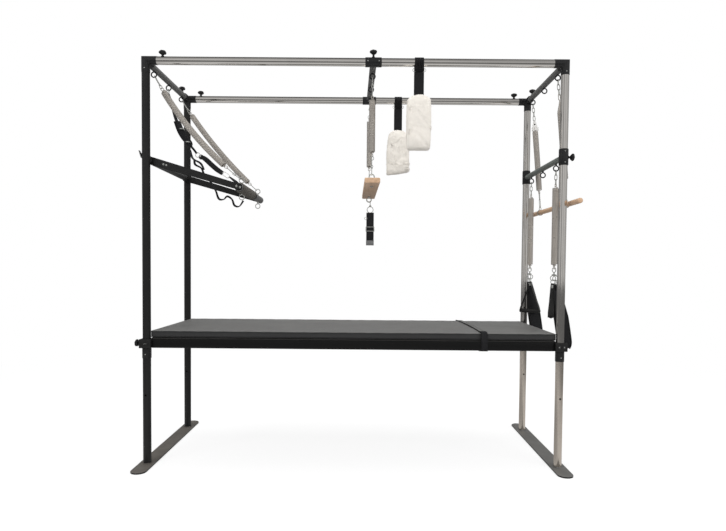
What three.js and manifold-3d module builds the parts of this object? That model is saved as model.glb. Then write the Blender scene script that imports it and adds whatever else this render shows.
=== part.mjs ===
// Pilates trapeze table: a padded bed between four posts, with a frame of rails above it that carries
// a sprung push-through bar, a sliding trapeze bar, two fleece slings and, at the right end, a roll-down
// bar, pull handles and foot loops. Millimetres, +Z up, +X along the bed, -Y towards the viewer.
import * as THREE from 'three';
import { mergeVertices } from 'three/addons/utils/BufferGeometryUtils.js';
import Module from 'manifold-3d';

const wasm = await Module();
wasm.setup();

// Fits
const clearance = 0.35;
const linkClearance = 0.8;

// Facets
const tubeSides = 12;
const rodSides = 10;
const screwSides = 6;
const ringSides = 8;
const ringWireSides = 4;
const padCells = [12, 6, 2];

// Frame
const postSpacingLong = 2200;
const postSpacingWide = 660;
const railHeight = 2140;
const tubeDiameter = 42;
const tubeWall = 2;
const endBarDiameter = 34;
const midBarDiameter = 35;
const slidingBarDiameter = 31;
const socketWall = 3.2;
const socketReach = 52;

// Feet and legs
const footLength = 930;
const footWidth = 86;
const footThickness = 8;
const footEndLength = 40;
const legTop = 640;
const legHoleHeight = 365;
const legHoleDiameter = 9;

// Bed
const bedRailBottom = 632;
const bedRailHeight = 50;
const bedRailWidth = 30;
const bearerHeight = 30;
const bearerOffset = 350;
const blockWidth = 62;
const legSleeveDiameter = 49;
const legSleeveLength = 56;
const boltHeadDiameter = 13;
const boltHeadHeight = 5;
const boltSpacing = 26;
const slitWidth = 3;
const deckEndGap = 24;
const deckSideReach = 7;
const deckThickness = 6;
const padEndInset = 1;
const padSideInset = 2;
const padEdgeHeight = 29;
const padCrown = 11;
const padDrawIn = 7;
const beltCentre = 702;
const beltWidth = 35;
const beltThickness = 2.4;

// Eye rings and links
const eyeRadius = 12.25;
const eyeWire = 5.5;
const eyeDrop = 35;
const slidingEyeDrop = 39;
const eyeOffset = 220;
const linkRadius = 14;
const linkWire = 5;
const shankDiameter = 7;

// Springs
const coilDiameter = 29;
const coilWire = 7;
const curlsPerSpring = 6;
const stepsPerCurl = 8;
const coilSides = 5;

// Knobs
const knobDiameter = 40;
const knobHeadHeight = 14;
const knobHubDiameter = 16;
const knobHubHeight = 24;
const knobScrewDiameter = 8;
const knobTubeReach = 5;
const knobSleeveReach = 2.9;
const knobBlockReach = 9;
const knobLobeDepth = 4;
const knobLobes = 5;
const railKnobInset = 89;
const crossbarKnobOffset = 235;

// Push-through bar
const pushPivotDrop = 512;
const pushHandleAcross = 480;
const pushHandleDrop = 138;
const axleDiameter = 36;
const axleSpigotDiameter = 16;
const axleSpigotReach = 8;
const armWidth = 40;
const armThickness = 8;
const armInset = 30;
const armBoltNear = 84;
const armBoltFar = 100;
const armBoltDiameter = 10;
const armBoltHeight = 3.5;
const pushHandleDiameter = 42;
const pushEyeOffset = 46;
const gripDiameter = 56;
const gripStart = -270;
const gripEnd = 40;
const gripRibCount = 5;
const gripRibDepth = 2.5;
const strapHandleOffset = 62;
const strapWidth = 25;
const strapThickness = 2.5;
const strapRouteShares = [
  [0, 0],
  [0.0733, 0.1254],
  [0.151, 0.3628],
  [0.2372, 0.4797],
  [0.3601, 0.5931],
  [0.4119, 0.625],
  [0.6923, 0.8021],
  [0.7656, 0.834],
  [1, 1],
];
const pushCoilLead = 107;
const pushCoilTail = 117;
const lockPinRise = 24;
const lockPinDiameter = 8;
const lockTabHeight = 43;
const lockTabWidth = 20;
const lockTabThickness = 5;
const lockPinShow = 11;

// Sliding bar and trapeze
const midBarPlace = 88;
const sliderLength = 86;
const trapezeCoilLead = 131;
const trapezeCoilTail = 133;
const boardWidth = 82;
const boardLength = 686;
const boardThickness = 28;
const boardDrop = 602;
const boardEdgeRadius = 6;
const boardEyeRise = 22;
const boardEyeStem = 8;
const boardNutDiameter = 15;
const boardNutHeight = 6;
const cuffWidth = 47;
const cuffThickness = 3;
const cuffDrop = 130;
const cuffLength = 202;
const cuffDepth = 30;
const cuffRingRadius = 19;
const teardropNeckShare = 0.35;

// Slings
const slingStrapThickness = 3;
const slingStrapWidth = 52;
const slingPocketDepth = 17;
const slingPocketWidth = 58;
const slingPocketHalfAngle = 34;
const slingThroat = 70;
const fleeceDepth = 90;
const fleeceWall = 32;
const frontSlingPlace = 334;
const frontFleeceWidth = 140;
const frontFleeceDrop = 167;
const frontFleeceLength = 292;
const rearSlingPlace = 264;
const rearFleeceWidth = 150;
const rearFleeceDrop = 186;
const rearFleeceLength = 295;

// Right end
const slidingBarDrop = 486;
const rollBarPlace = 60;
const rollBarDrop = 722;
const rollBarDiameter = 28;
const rollBarLength = 840;
const rollCoilLead = 180;
const rollCoilTail = 139;
const handleCoilLead = 105;
const handleCoilTail = 58;
const handleEyeDrop = 640;
const handlePlaneShift = 16;
const loopPlaneShift = 22;
const spreaderDiameter = 9;
const handleGripDrop = 214;
const handleGripLength = 129;
const handleGripDiameter = 25;
const handleStrapWidth = 20;
const handleStrapThickness = 3.5;
const footLoopLength = 390;
const footLoopDepth = 44;
const footLoopWidth = 67;
const footLoopNeckWidth = 26;
const footLoopThickness = 4;
const footLoopLean = 10.8;

// Places worked out from the sizes above
const postX = postSpacingLong / 2;
const postY = postSpacingWide / 2;
const tubeRadius = tubeDiameter / 2;
const boreRadius = tubeRadius + clearance;
const socketRadius = boreRadius + socketWall;
const railKnobOffset = postX - railKnobInset;
const pushPivotHeight = railHeight - pushPivotDrop;
const lockPinHeight = pushPivotHeight + lockPinRise;
const armOffset = postY - armInset;
const boardTop = railHeight - boardDrop;
const slidingBarHeight = railHeight - slidingBarDrop;
const rollBarHeight = railHeight - rollBarDrop;
const handleEyeHeight = slidingBarHeight - handleEyeDrop;
const deckLength = postSpacingLong - deckEndGap * 2;
const deckWidth = postSpacingWide + deckSideReach * 2;
const padLength = deckLength - padEndInset * 2;
const padWidth = deckWidth - padSideInset * 2;
const bedRailTop = bedRailBottom + bedRailHeight;
const deckBottom = bedRailTop + clearance;
const padBottom = deckBottom + deckThickness + clearance;
const screwHoleDiameter = knobScrewDiameter + clearance * 4;
const eyeSeat = eyeRadius - (eyeWire + linkWire) / 2 - linkClearance;
const pushArmLength = Math.hypot(pushHandleAcross, pushHandleDrop);
const pushArmAngle = Math.atan2(pushHandleDrop, pushHandleAcross);

// Surfaces
const blackPaint = new THREE.MeshStandardMaterial({ color: 0x17181a, roughness: 0.45, metalness: 0.5 });
const chrome = new THREE.MeshStandardMaterial({ color: 0xb9b6b0, roughness: 0.18, metalness: 1 });
const legSteel = new THREE.MeshStandardMaterial({ color: 0xb8ab9c, roughness: 0.3, metalness: 1 });
const barSteel = new THREE.MeshStandardMaterial({ color: 0x5c605c, roughness: 0.4, metalness: 0.9 });
const springSteel = new THREE.MeshStandardMaterial({ color: 0xb5aea2, roughness: 0.35, metalness: 1 });
const vinyl = new THREE.MeshStandardMaterial({ color: 0x2d2e31, roughness: 0.6, metalness: 0 });
const plywood = new THREE.MeshStandardMaterial({ color: 0xc9b48e, roughness: 0.7, metalness: 0 });
const beech = new THREE.MeshStandardMaterial({ color: 0xd9b27c, roughness: 0.5, metalness: 0 });
const fleece = new THREE.MeshStandardMaterial({ color: 0xf2f0e9, roughness: 0.95, metalness: 0 });
const webbing = new THREE.MeshStandardMaterial({ color: 0x151516, roughness: 0.85, metalness: 0 });
const moulding = new THREE.MeshStandardMaterial({ color: 0x1a1a1b, roughness: 0.5, metalness: 0 });
const foam = new THREE.MeshStandardMaterial({ color: 0x4a4440, roughness: 0.85, metalness: 0 });

const table = new THREE.Group();
const yAxis = new THREE.Vector3(0, 1, 0);

// Adds one named piece to the table.
function addPiece(name, material, geometry, place = [0, 0, 0]) {
  const mesh = new THREE.Mesh(geometry, material);
  mesh.name = name;
  mesh.position.set(...place);
  table.add(mesh);
}

// Turns a closed geometry into a solid that can be joined and cut.
function solid(geometry) {
  geometry.deleteAttribute('normal');
  geometry.deleteAttribute('uv');
  const merged = mergeVertices(geometry);
  return new wasm.Manifold(new wasm.Mesh({
    numProp: 3,
    vertProperties: new Float32Array(merged.attributes.position.array),
    triVerts: new Uint32Array(merged.index.array),
  }));
}

// Turns a solid back into a geometry with flat-shaded normals.
function geometryOf(body) {
  const { vertProperties, triVerts } = body.getMesh();
  const geometry = new THREE.BufferGeometry();
  geometry.setAttribute('position', new THREE.BufferAttribute(new Float32Array(vertProperties), 3));
  geometry.setIndex(new THREE.BufferAttribute(new Uint32Array(triVerts), 1));
  geometry.computeVertexNormals();
  return geometry;
}

function joined(geometries) {
  return geometries.map(solid).reduce((whole, part) => whole.add(part));
}

function without(body, geometries) {
  return geometries.map(solid).reduce((rest, tool) => rest.subtract(tool), body);
}

// Stands a geometry made along Y on the line between two points.
function alongLine(geometry, from, to) {
  const start = new THREE.Vector3(...from);
  const end = new THREE.Vector3(...to);
  const direction = end.clone().sub(start).normalize();
  geometry.applyQuaternion(new THREE.Quaternion().setFromUnitVectors(yAxis, direction));
  const middle = start.add(end).divideScalar(2);
  return geometry.translate(middle.x, middle.y, middle.z);
}

function distance(from, to) {
  return new THREE.Vector3(...from).distanceTo(new THREE.Vector3(...to));
}

function rod(diameter, from, to, sides = rodSides) {
  const radius = diameter / 2;
  return alongLine(new THREE.CylinderGeometry(radius, radius, distance(from, to), sides), from, to);
}

function pipe(outerDiameter, wall, from, to, sides = tubeSides) {
  const outer = outerDiameter / 2;
  const inner = outer - wall;
  const half = distance(from, to) / 2;
  const profile = [[inner, -half], [outer, -half], [outer, half], [inner, half], [inner, -half]];
  const points = profile.map(([radius, height]) => new THREE.Vector2(radius, height));
  return alongLine(new THREE.LatheGeometry(points, sides), from, to);
}

function box(size, centre) {
  return new THREE.BoxGeometry(...size).translate(...centre);
}

// A ring of round wire whose hole faces along the given axis.
function ring(radius, wire, centre, axis) {
  const geometry = new THREE.TorusGeometry(radius, wire / 2, ringWireSides, ringSides);
  const zAxis = new THREE.Vector3(0, 0, 1);
  geometry.applyQuaternion(new THREE.Quaternion().setFromUnitVectors(zAxis, axis));
  return geometry.translate(...centre);
}

// Joins rows of points, each row one ring round a tube, into a closed surface.
function skin(rows, closed) {
  const count = rows[0].length;
  const positions = rows.flat().flatMap((point) => [point.x, point.y, point.z]);
  const faces = [];
  const last = closed ? rows.length : rows.length - 1;
  for (let row = 0; row < last; row += 1) {
    const here = row * count;
    const next = ((row + 1) % rows.length) * count;
    for (let side = 0; side < count; side += 1) {
      const beside = (side + 1) % count;
      faces.push(here + side, here + beside, next + beside);
      faces.push(here + side, next + beside, next + side);
    }
  }
  if (!closed) {
    const end = (rows.length - 1) * count;
    for (let side = 1; side < count - 1; side += 1) {
      faces.push(0, side + 1, side);
      faces.push(end, end + side, end + side + 1);
    }
  }
  const geometry = new THREE.BufferGeometry();
  geometry.setAttribute('position', new THREE.Float32BufferAttribute(positions, 3));
  geometry.setIndex(faces);
  geometry.computeVertexNormals();
  return geometry;
}

// Sweeps a section along points, with the section's second axis held along the given direction.
function band(points, sections, widthAxis, closed) {
  const rows = points.map((point, index) => {
    const before = points[closed ? (index + points.length - 1) % points.length : Math.max(index - 1, 0)];
    const after = points[closed ? (index + 1) % points.length : Math.min(index + 1, points.length - 1)];
    const tangent = after.clone().sub(before).normalize();
    const outward = widthAxis.clone().cross(tangent).normalize();
    return sections[index].map(([out, across]) => (
      point.clone().addScaledVector(outward, out).addScaledVector(widthAxis, across)
    ));
  });
  return skin(rows, closed);
}

// The four corners of a strap's section.
function strapSection(thickness, width) {
  const out = thickness / 2;
  const across = width / 2;
  return [[out, -across], [out, across], [-out, across], [-out, -across]];
}

// Sweeps a round wire along points without twisting it.
function wire(points, diameter, sides) {
  let normal = new THREE.Vector3(1, 0, 0);
  const rows = points.map((point, index) => {
    const before = points[Math.max(index - 1, 0)];
    const after = points[Math.min(index + 1, points.length - 1)];
    const tangent = after.clone().sub(before).normalize();
    normal = normal.clone().addScaledVector(tangent, -normal.dot(tangent)).normalize();
    const side = tangent.clone().cross(normal);
    return Array.from({ length: sides }, (_, step) => {
      const angle = (step / sides) * Math.PI * 2;
      const reach = normal.clone().multiplyScalar(Math.cos(angle)).addScaledVector(side, Math.sin(angle));
      return point.clone().addScaledVector(reach, diameter / 2);
    });
  });
  return skin(rows, false);
}

// The centre line of a spring along +Y: a straight lead, the curls, which widen from the axis over their
// first half turn and close again over their last, and a straight lead.
function coilPoints(length) {
  const reach = (coilDiameter - coilWire) / 2;
  const steps = curlsPerSpring * stepsPerCurl;
  const points = [new THREE.Vector3(0, 0, 0)];
  for (let step = 0; step <= steps; step += 1) {
    const turn = step / stepsPerCurl;
    const spread = reach * Math.min(1, turn * 2, (curlsPerSpring - turn) * 2);
    const angle = turn * Math.PI * 2;
    const along = coilWire + ((length - coilWire * 2) * step) / steps;
    points.push(new THREE.Vector3(spread * Math.cos(angle), along, spread * Math.sin(angle)));
  }
  points.push(new THREE.Vector3(0, length, 0));
  return points;
}

// The least clear distance between two curls of one spring.
function leastSelfGap(points) {
  let least = Infinity;
  for (let first = 0; first < points.length; first += 1) {
    for (let second = first + stepsPerCurl / 2; second < points.length; second += 1) {
      least = Math.min(least, points[first].distanceTo(points[second]) - coilWire);
    }
  }
  return least;
}

// A link whose wire hangs in an eye ring, on the line that runs from the eye's centre along a direction.
function linkOn(eye, direction) {
  const centre = eye.clone().addScaledVector(direction, eyeSeat + linkRadius);
  return ring(linkRadius, linkWire, centre.toArray(), direction.clone().cross(yAxis).normalize());
}

// A spring that hangs from an eye and runs to a lower end: the link, a shank, the coil and a second shank.
function springParts(name, eye, end, coilStart, coilTail, lowerShankEnd) {
  const direction = end.clone().sub(eye).normalize();
  const coilEnd = eye.distanceTo(end) - coilTail;
  const coilLength = coilEnd - coilStart;
  const at = (along) => eye.clone().addScaledVector(direction, along);
  const points = coilPoints(coilLength);
  console.log(`${name}: least gap between curls ${leastSelfGap(points).toFixed(1)} mm`);
  const coil = wire(points, coilWire, coilSides);
  coil.translate(0, -coilLength / 2, 0);
  return [
    linkOn(eye, direction),
    rod(shankDiameter, at(eyeSeat + linkRadius * 2).toArray(), at(coilStart + coilWire / 2).toArray(), screwSides),
    alongLine(coil, at(coilStart).toArray(), at(coilEnd).toArray()),
    rod(shankDiameter, at(coilEnd - coilWire / 2).toArray(), at(lowerShankEnd).toArray(), screwSides),
  ];
}

// An eye ring above or below a place, on a stem.
function eyeOn(place, rise) {
  const [x, y, z] = place;
  const stemEnd = z + rise - Math.sign(rise) * eyeRadius;
  return [
    rod(eyeWire, [x, y, z], [x, y, stemEnd], screwSides),
    ring(eyeRadius, eyeWire, [x, y, z + rise], yAxis),
  ];
}

// A clamp knob with its screw along an axis: the seat is where the hub meets the part that it clamps.
function addKnob(name, seat, axis, reach) {
  const outline = new THREE.Shape();
  const lobeSteps = 3;
  const steps = knobLobes * lobeSteps;
  for (let step = 0; step < steps; step += 1) {
    const angle = (step / steps) * Math.PI * 2;
    const radius = knobDiameter / 2 - (knobLobeDepth / 2) * (1 - Math.cos(angle * knobLobes));
    outline.lineTo(radius * Math.cos(angle), radius * Math.sin(angle));
  }
  const head = new THREE.ExtrudeGeometry(shapeFromCurves(outline), { depth: knobHeadHeight, bevelEnabled: false });
  head.translate(0, 0, knobHubHeight);
  const hub = rod(knobHubDiameter, [0, 0, clearance], [0, 0, knobHubHeight + knobScrewDiameter]);
  const screw = rod(knobScrewDiameter, [0, 0, -reach], [0, 0, knobHubHeight], screwSides);
  const geometry = geometryOf(joined([head, hub, screw]));
  const zAxis = new THREE.Vector3(0, 0, 1);
  geometry.applyQuaternion(new THREE.Quaternion().setFromUnitVectors(zAxis, axis));
  addPiece(name, moulding, geometry, seat);
}

// Drops the origin that a shape's first line starts from.
function shapeFromCurves(shape) {
  const points = shape.getPoints().slice(1);
  return new THREE.Shape(points);
}

const xAxis = new THREE.Vector3(1, 0, 0);
const zUp = new THREE.Vector3(0, 0, 1);
const sideNames = [['left', -1], ['right', 1]];
const depthNames = [['front', -1], ['rear', 1]];

// A flat plate outline in X and Y with half-elliptical ends.
function footOutline() {
  const straight = footLength / 2 - footEndLength;
  const half = footWidth / 2;
  const outline = new THREE.Shape();
  outline.absellipse(0, straight, half, footEndLength, 0, Math.PI, false, 0);
  outline.absellipse(0, -straight, half, footEndLength, Math.PI, Math.PI * 2, false, 0);
  return outline;
}

// One foot: a floor plate with two legs welded on, each drilled for a height pin.
function addFootFrame(name, side) {
  const plate = new THREE.ExtrudeGeometry(footOutline(), {
    depth: footThickness,
    bevelEnabled: false,
    curveSegments: 8,
  });
  const legs = [-1, 1].map((depth) => (
    rod(tubeDiameter, [0, depth * postY, footThickness / 2], [0, depth * postY, legTop], tubeSides)
  ));
  const bores = [-1, 1].map((depth) => (
    rod(tubeDiameter - tubeWall * 2, [0, depth * postY, footThickness], [0, depth * postY, legTop * 2], tubeSides)
  ));
  const holes = [-1, 1].map((depth) => {
    const outside = depth * (postY + tubeDiameter);
    return rod(legHoleDiameter, [0, depth * postY, legHoleHeight], [0, outside, legHoleHeight], screwSides);
  });
  const body = without(joined([plate, ...legs]), [...bores, ...holes]);
  addPiece(name, side < 0 ? blackPaint : legSteel, geometryOf(body), [side * postX, 0, 0]);
}

// One corner block: it clamps the post and the leg below it, and has two bolts on its outer face or a slit.
function addBedCorner(name, side, depth) {
  const half = blockWidth / 2;
  const middle = bedRailHeight / 2;
  const outerFace = depth * half;
  const parts = [
    box([blockWidth, blockWidth, bedRailHeight], [0, 0, middle]),
    rod(legSleeveDiameter, [0, 0, -legSleeveLength], [0, 0, middle], tubeSides),
  ];
  const cuts = [rod(boreRadius * 2, [0, 0, -legSleeveLength * 2], [0, 0, bedRailHeight * 2], tubeSides)];
  if (side > 0) {
    for (const bolt of [-1, 1]) {
      const x = (bolt * boltSpacing) / 2;
      parts.push(rod(boltHeadDiameter, [x, 0, middle], [x, outerFace + depth * boltHeadHeight, middle], 12));
    }
  } else {
    cuts.push(box([half, slitWidth, bedRailHeight * 2], [side * half, 0, middle]));
  }
  if (side < 0 && depth < 0) {
    cuts.push(rod(screwHoleDiameter, [0, 0, middle], [side * blockWidth, 0, middle], screwSides));
    addKnob('bed_knob', [-postX - half, -postY, bedRailBottom + middle], new THREE.Vector3(-1, 0, 0), knobBlockReach);
  }
  addPiece(name, blackPaint, geometryOf(without(joined(parts), cuts)), [side * postX, depth * postY, bedRailBottom]);
}

// The welded bed frame: two long rails, two end rails and two bearers under the deck.
function addBedFrame() {
  const outerLength = postSpacingLong - blockWidth - clearance * 2;
  const middle = bedRailHeight / 2;
  const endPlace = outerLength / 2 - bedRailWidth / 2;
  const parts = [];
  for (const sign of [-1, 1]) {
    parts.push(box([outerLength, bedRailWidth, bedRailHeight], [0, sign * postY, middle]));
    parts.push(box([bedRailWidth, postSpacingWide, bedRailHeight], [sign * endPlace, 0, middle]));
    parts.push(box([bedRailWidth, postSpacingWide, bearerHeight], [
      sign * bearerOffset, 0, bedRailHeight - bearerHeight / 2,
    ]));
  }
  addPiece('bed_frame', blackPaint, geometryOf(joined(parts)), [0, 0, bedRailBottom]);
}

// How high the pad's top stands over its seam at shares of its half length and half width.
function crownShare(lengthShare, widthShare) {
  return (1 - lengthShare ** 8) * (1 - Math.abs(widthShare) ** 3);
}

// The upholstered pad: a crowned top and sides that are drawn in at the seams.
function addPad() {
  const geometry = new THREE.BoxGeometry(2, 2, 2, ...padCells);
  const position = geometry.attributes.position;
  for (let index = 0; index < position.count; index += 1) {
    const lengthShare = Math.sin((position.getX(index) * Math.PI) / 2);
    const widthShare = Math.sin((position.getY(index) * Math.PI) / 2);
    const level = position.getZ(index);
    const inset = level === 0 ? 0 : padDrawIn;
    const crown = level > 0 ? padCrown * crownShare(lengthShare, widthShare) : 0;
    position.setXYZ(
      index,
      lengthShare * (padLength / 2 - inset),
      widthShare * (padWidth / 2 - inset),
      (padEdgeHeight * (level + 1)) / 2 + crown,
    );
  }
  addPiece('mattress_pad', vinyl, geometryOf(solid(geometry)), [0, 0, padBottom]);
}

// The belt that holds the pad: one closed band round the frame, the deck and the pad.
function addBedBelt() {
  const half = postY + bedRailWidth / 2 + clearance + beltThickness / 2;
  const bottom = bedRailBottom - clearance - beltThickness / 2;
  const points = [new THREE.Vector3(0, -half, bottom), new THREE.Vector3(0, -half, padBottom)];
  const steps = 10;
  const rise = padEdgeHeight + clearance * 2 + beltThickness / 2;
  for (let step = 0; step <= steps; step += 1) {
    const share = (step / steps) * 2 - 1;
    const height = padBottom + rise + padCrown * crownShare(0, share);
    points.push(new THREE.Vector3(0, (share * padWidth) / 2, height + beltThickness * (1 - Math.abs(share))));
  }
  points.push(new THREE.Vector3(0, half, padBottom), new THREE.Vector3(0, half, bottom));
  const sections = points.map(() => strapSection(beltThickness, beltWidth));
  addPiece('bed_belt', webbing, band(points, sections, xAxis, true), [beltCentre, 0, 0]);
}

// One post: a tube from the leg's top to inside the corner fitting.
function addPost(name, side, depth) {
  const bottom = legTop + clearance;
  const top = railHeight - socketRadius - clearance;
  const body = solid(pipe(tubeDiameter, tubeWall, [0, 0, bottom], [0, 0, top]));
  const cuts = [];
  if (side < 0) {
    const holeDiameter = axleSpigotDiameter + clearance * 4;
    cuts.push(rod(holeDiameter, [0, 0, pushPivotHeight], [0, -depth * tubeDiameter, pushPivotHeight]));
  }
  if (side < 0 && depth < 0) {
    const holeDiameter = lockPinDiameter + clearance * 4;
    cuts.push(rod(holeDiameter, [0, 0, lockPinHeight], [-tubeDiameter, 0, lockPinHeight], screwSides));
  }
  addPiece(name, side < 0 ? blackPaint : chrome, geometryOf(without(body, cuts)), [side * postX, depth * postY, 0]);
}

// One corner fitting: three sockets, for a post, a long rail and an end crossbar.
function addCorner(name, side, depth) {
  const outer = socketRadius * 2;
  const far = socketReach * 2;
  const parts = [
    rod(outer, [0, 0, -socketReach], [0, 0, socketRadius], tubeSides),
    rod(outer, [side * socketRadius, 0, 0], [-side * socketReach, 0, 0], tubeSides),
    rod(outer, [0, depth * socketRadius, 0], [0, -depth * socketReach, 0], tubeSides),
  ];
  const cuts = [
    rod(boreRadius * 2, [0, 0, -socketRadius], [0, 0, -far], tubeSides),
    rod(boreRadius * 2, [-side * socketRadius, 0, 0], [-side * far, 0, 0], tubeSides),
    rod(endBarDiameter + clearance * 2, [0, -depth * socketRadius, 0], [0, -depth * far, 0], tubeSides),
  ];
  const geometry = geometryOf(without(joined(parts), cuts));
  addPiece(name, moulding, geometry, [side * postX, depth * postY, railHeight]);
}

// One long rail, drilled on top for its knob screws.
function addTopRail(name, depth, knobPlaces) {
  const half = postX - socketRadius - clearance;
  const body = solid(pipe(tubeDiameter, tubeWall, [-half, 0, 0], [half, 0, 0]));
  const cuts = knobPlaces.map((x) => rod(screwHoleDiameter, [x, 0, 0], [x, 0, tubeDiameter], screwSides));
  addPiece(name, chrome, geometryOf(without(body, cuts)), [0, depth * postY, railHeight]);
}

// One end crossbar with its three eye rings and a hole for its knob screw.
function addCrossbar(name, side) {
  const half = postY - socketRadius - clearance;
  const bore = rod(endBarDiameter - tubeWall * 2, [0, -postY, 0], [0, postY, 0]);
  const hole = rod(screwHoleDiameter, [0, crossbarKnobOffset, 0], [0, crossbarKnobOffset, tubeDiameter], screwSides);
  const tube = without(joined([rod(endBarDiameter, [0, -half, 0], [0, half, 0], tubeSides)]), [bore, hole]);
  const eyes = [-1, 0, 1].flatMap((place) => eyeOn([0, place * eyeOffset, 0], -eyeDrop));
  addPiece(name, barSteel, geometryOf(tube.add(joined(eyes))), [side * postX, 0, railHeight]);
}

// The pull pin in the outer side of the front left post.
function addLockPin() {
  const face = -tubeRadius;
  const tip = face - lockPinShow;
  const parts = [
    rod(lockPinDiameter, [face + knobTubeReach, 0, 0], [tip, 0, 0], screwSides),
    box([lockTabThickness, lockTabWidth, lockTabHeight], [tip - lockTabThickness / 2, 0, 0]),
  ];
  addPiece('lock_pin', moulding, geometryOf(joined(parts)), [-postX, -postY, lockPinHeight]);
}

function addRoot() {
  for (const [sideName, side] of sideNames) {
    addFootFrame(`foot_frame_${sideName}`, side);
    addCrossbar(`crossbar_${sideName}`, side);
    const seat = [side * postX, crossbarKnobOffset, railHeight + endBarDiameter / 2];
    addKnob(`crossbar_knob_${sideName}`, seat, zUp, knobTubeReach);
    for (const [depthName, depth] of depthNames) {
      addBedCorner(`bed_corner_${depthName}_${sideName}`, side, depth);
      addPost(`post_${depthName}_${sideName}`, side, depth);
      addCorner(`corner_${depthName}_${sideName}`, side, depth);
    }
  }
  addTopRail('top_rail_front', -1, [-railKnobOffset]);
  addTopRail('top_rail_rear', 1, [-railKnobOffset, railKnobOffset]);
  const knobSeatHeight = railHeight + tubeRadius;
  addKnob('rail_knob_front_left', [-railKnobOffset, -postY, knobSeatHeight], zUp, knobTubeReach);
  addKnob('rail_knob_rear_left', [-railKnobOffset, postY, knobSeatHeight], zUp, knobTubeReach);
  addKnob('rail_knob_rear_right', [railKnobOffset, postY, knobSeatHeight], zUp, knobTubeReach);
  addBedFrame();
  const deck = box([deckLength, deckWidth, deckThickness], [0, 0, deckThickness / 2]);
  addPiece('bed_board', plywood, deck, [0, 0, deckBottom]);
  addPad();
  addBedBelt();
  addLockPin();
}

// Lays an outline drawn in Y and Z along X, centred.
function alongX(outline, width) {
  const geometry = new THREE.ExtrudeGeometry(outline, { depth: width, bevelEnabled: false, curveSegments: 8 });
  geometry.translate(0, 0, -width / 2);
  return geometry.applyMatrix4(new THREE.Matrix4().makeBasis(yAxis, zUp, xAxis));
}

// Lays an outline drawn in Z and X along Y, centred.
function alongY(outline, width) {
  const geometry = new THREE.ExtrudeGeometry(outline, { depth: width, bevelEnabled: false, curveSegments: 4 });
  geometry.translate(0, 0, -width / 2);
  return geometry.applyMatrix4(new THREE.Matrix4().makeBasis(zUp, xAxis, yAxis));
}

function addPushBar() {
  const pivot = [-postX, 0, pushPivotHeight];
  const handlePlace = [-postX + pushHandleAcross, 0, pushPivotHeight - pushHandleDrop];
  const axleHalf = postY - tubeRadius - clearance * 3;
  const spigotHalf = postY - tubeRadius + axleSpigotReach;
  const axle = joined([
    rod(axleDiameter, [0, -axleHalf, 0], [0, axleHalf, 0], tubeSides),
    rod(axleSpigotDiameter, [0, -spigotHalf, 0], [0, spigotHalf, 0]),
  ]);
  addPiece('push_bar_axle', blackPaint, geometryOf(axle).rotateY(pushArmAngle), pivot);
  for (const [depthName, depth] of depthNames) {
    const half = armThickness / 2;
    const parts = [
      rod(axleDiameter + armBoltDiameter, [0, -half, 0], [0, half, 0], tubeSides),
      box([pushArmLength, armThickness, armWidth], [pushArmLength / 2, 0, 0]),
      rod(armWidth, [pushArmLength, -half, 0], [pushArmLength, half, 0], tubeSides),
    ];
    const handleBolts = [pushArmLength - armBoltDiameter, pushArmLength + armBoltDiameter];
    for (const place of [armBoltNear, armBoltFar, ...handleBolts]) {
      parts.push(rod(armBoltDiameter, [place, 0, 0], [place, depth * (half + armBoltHeight), 0], screwSides));
    }
    const hole = rod(axleDiameter + clearance * 2, [0, -armWidth, 0], [0, armWidth, 0], tubeSides);
    const geometry = geometryOf(without(joined(parts), [hole])).rotateY(pushArmAngle);
    addPiece(`push_bar_arm_${depthName}`, blackPaint, geometry, [-postX, depth * armOffset, pushPivotHeight]);
  }
  const handleHalf = armOffset - armThickness / 2 - clearance;
  const handleParts = [pipe(pushHandleDiameter, tubeWall, [0, -handleHalf, 0], [0, handleHalf, 0])];
  for (const [, depth] of depthNames) {
    handleParts.push(...eyeOn([0, depth * eyeOffset, 0], pushEyeOffset));
    handleParts.push(...eyeOn([0, depth * eyeOffset, 0], -pushEyeOffset));
  }
  addPiece('push_bar_handle', blackPaint, geometryOf(joined(handleParts)), handlePlace);
  addPiece('push_bar_grip', foam, geometryOf(gripBody()), handlePlace);
  addPushSprings(handlePlace);
  addSafetyStrap(handlePlace);
}

// The ribbed foam grip on the push-through bar's handle, with holes for an eye's two stems.
function gripBody() {
  const inner = pushHandleDiameter / 2 + clearance;
  const outer = gripDiameter / 2;
  const ribLength = (gripEnd - gripStart) / gripRibCount;
  const profile = [[inner, gripStart]];
  for (let rib = 0; rib < gripRibCount; rib += 1) {
    const start = gripStart + rib * ribLength;
    profile.push([outer - gripRibDepth, start], [outer, start + ribLength / 2]);
  }
  profile.push([outer - gripRibDepth, gripEnd], [inner, gripEnd], [inner, gripStart]);
  const points = profile.map(([radius, height]) => new THREE.Vector2(radius, height));
  const hole = rod(eyeWire + clearance * 4, [0, -eyeOffset, -gripDiameter], [0, -eyeOffset, gripDiameter], screwSides);
  return without(joined([new THREE.LatheGeometry(points, tubeSides)]), [hole]);
}

function addPushSprings(handlePlace) {
  for (const [depthName, depth] of depthNames) {
    const name = `push_spring_${depthName}`;
    const eye = new THREE.Vector3(-postX, depth * eyeOffset, railHeight - eyeDrop);
    const end = new THREE.Vector3(handlePlace[0], depth * eyeOffset, handlePlace[2] + pushEyeOffset);
    const lowerEnd = eye.distanceTo(end) - eyeSeat - linkRadius * 2;
    const parts = springParts(name, eye, end, pushCoilLead, pushCoilTail, lowerEnd);
    parts.push(linkOn(end, eye.clone().sub(end).normalize()));
    addPiece(name, springSteel, geometryOf(joined(parts)));
  }
}

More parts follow.
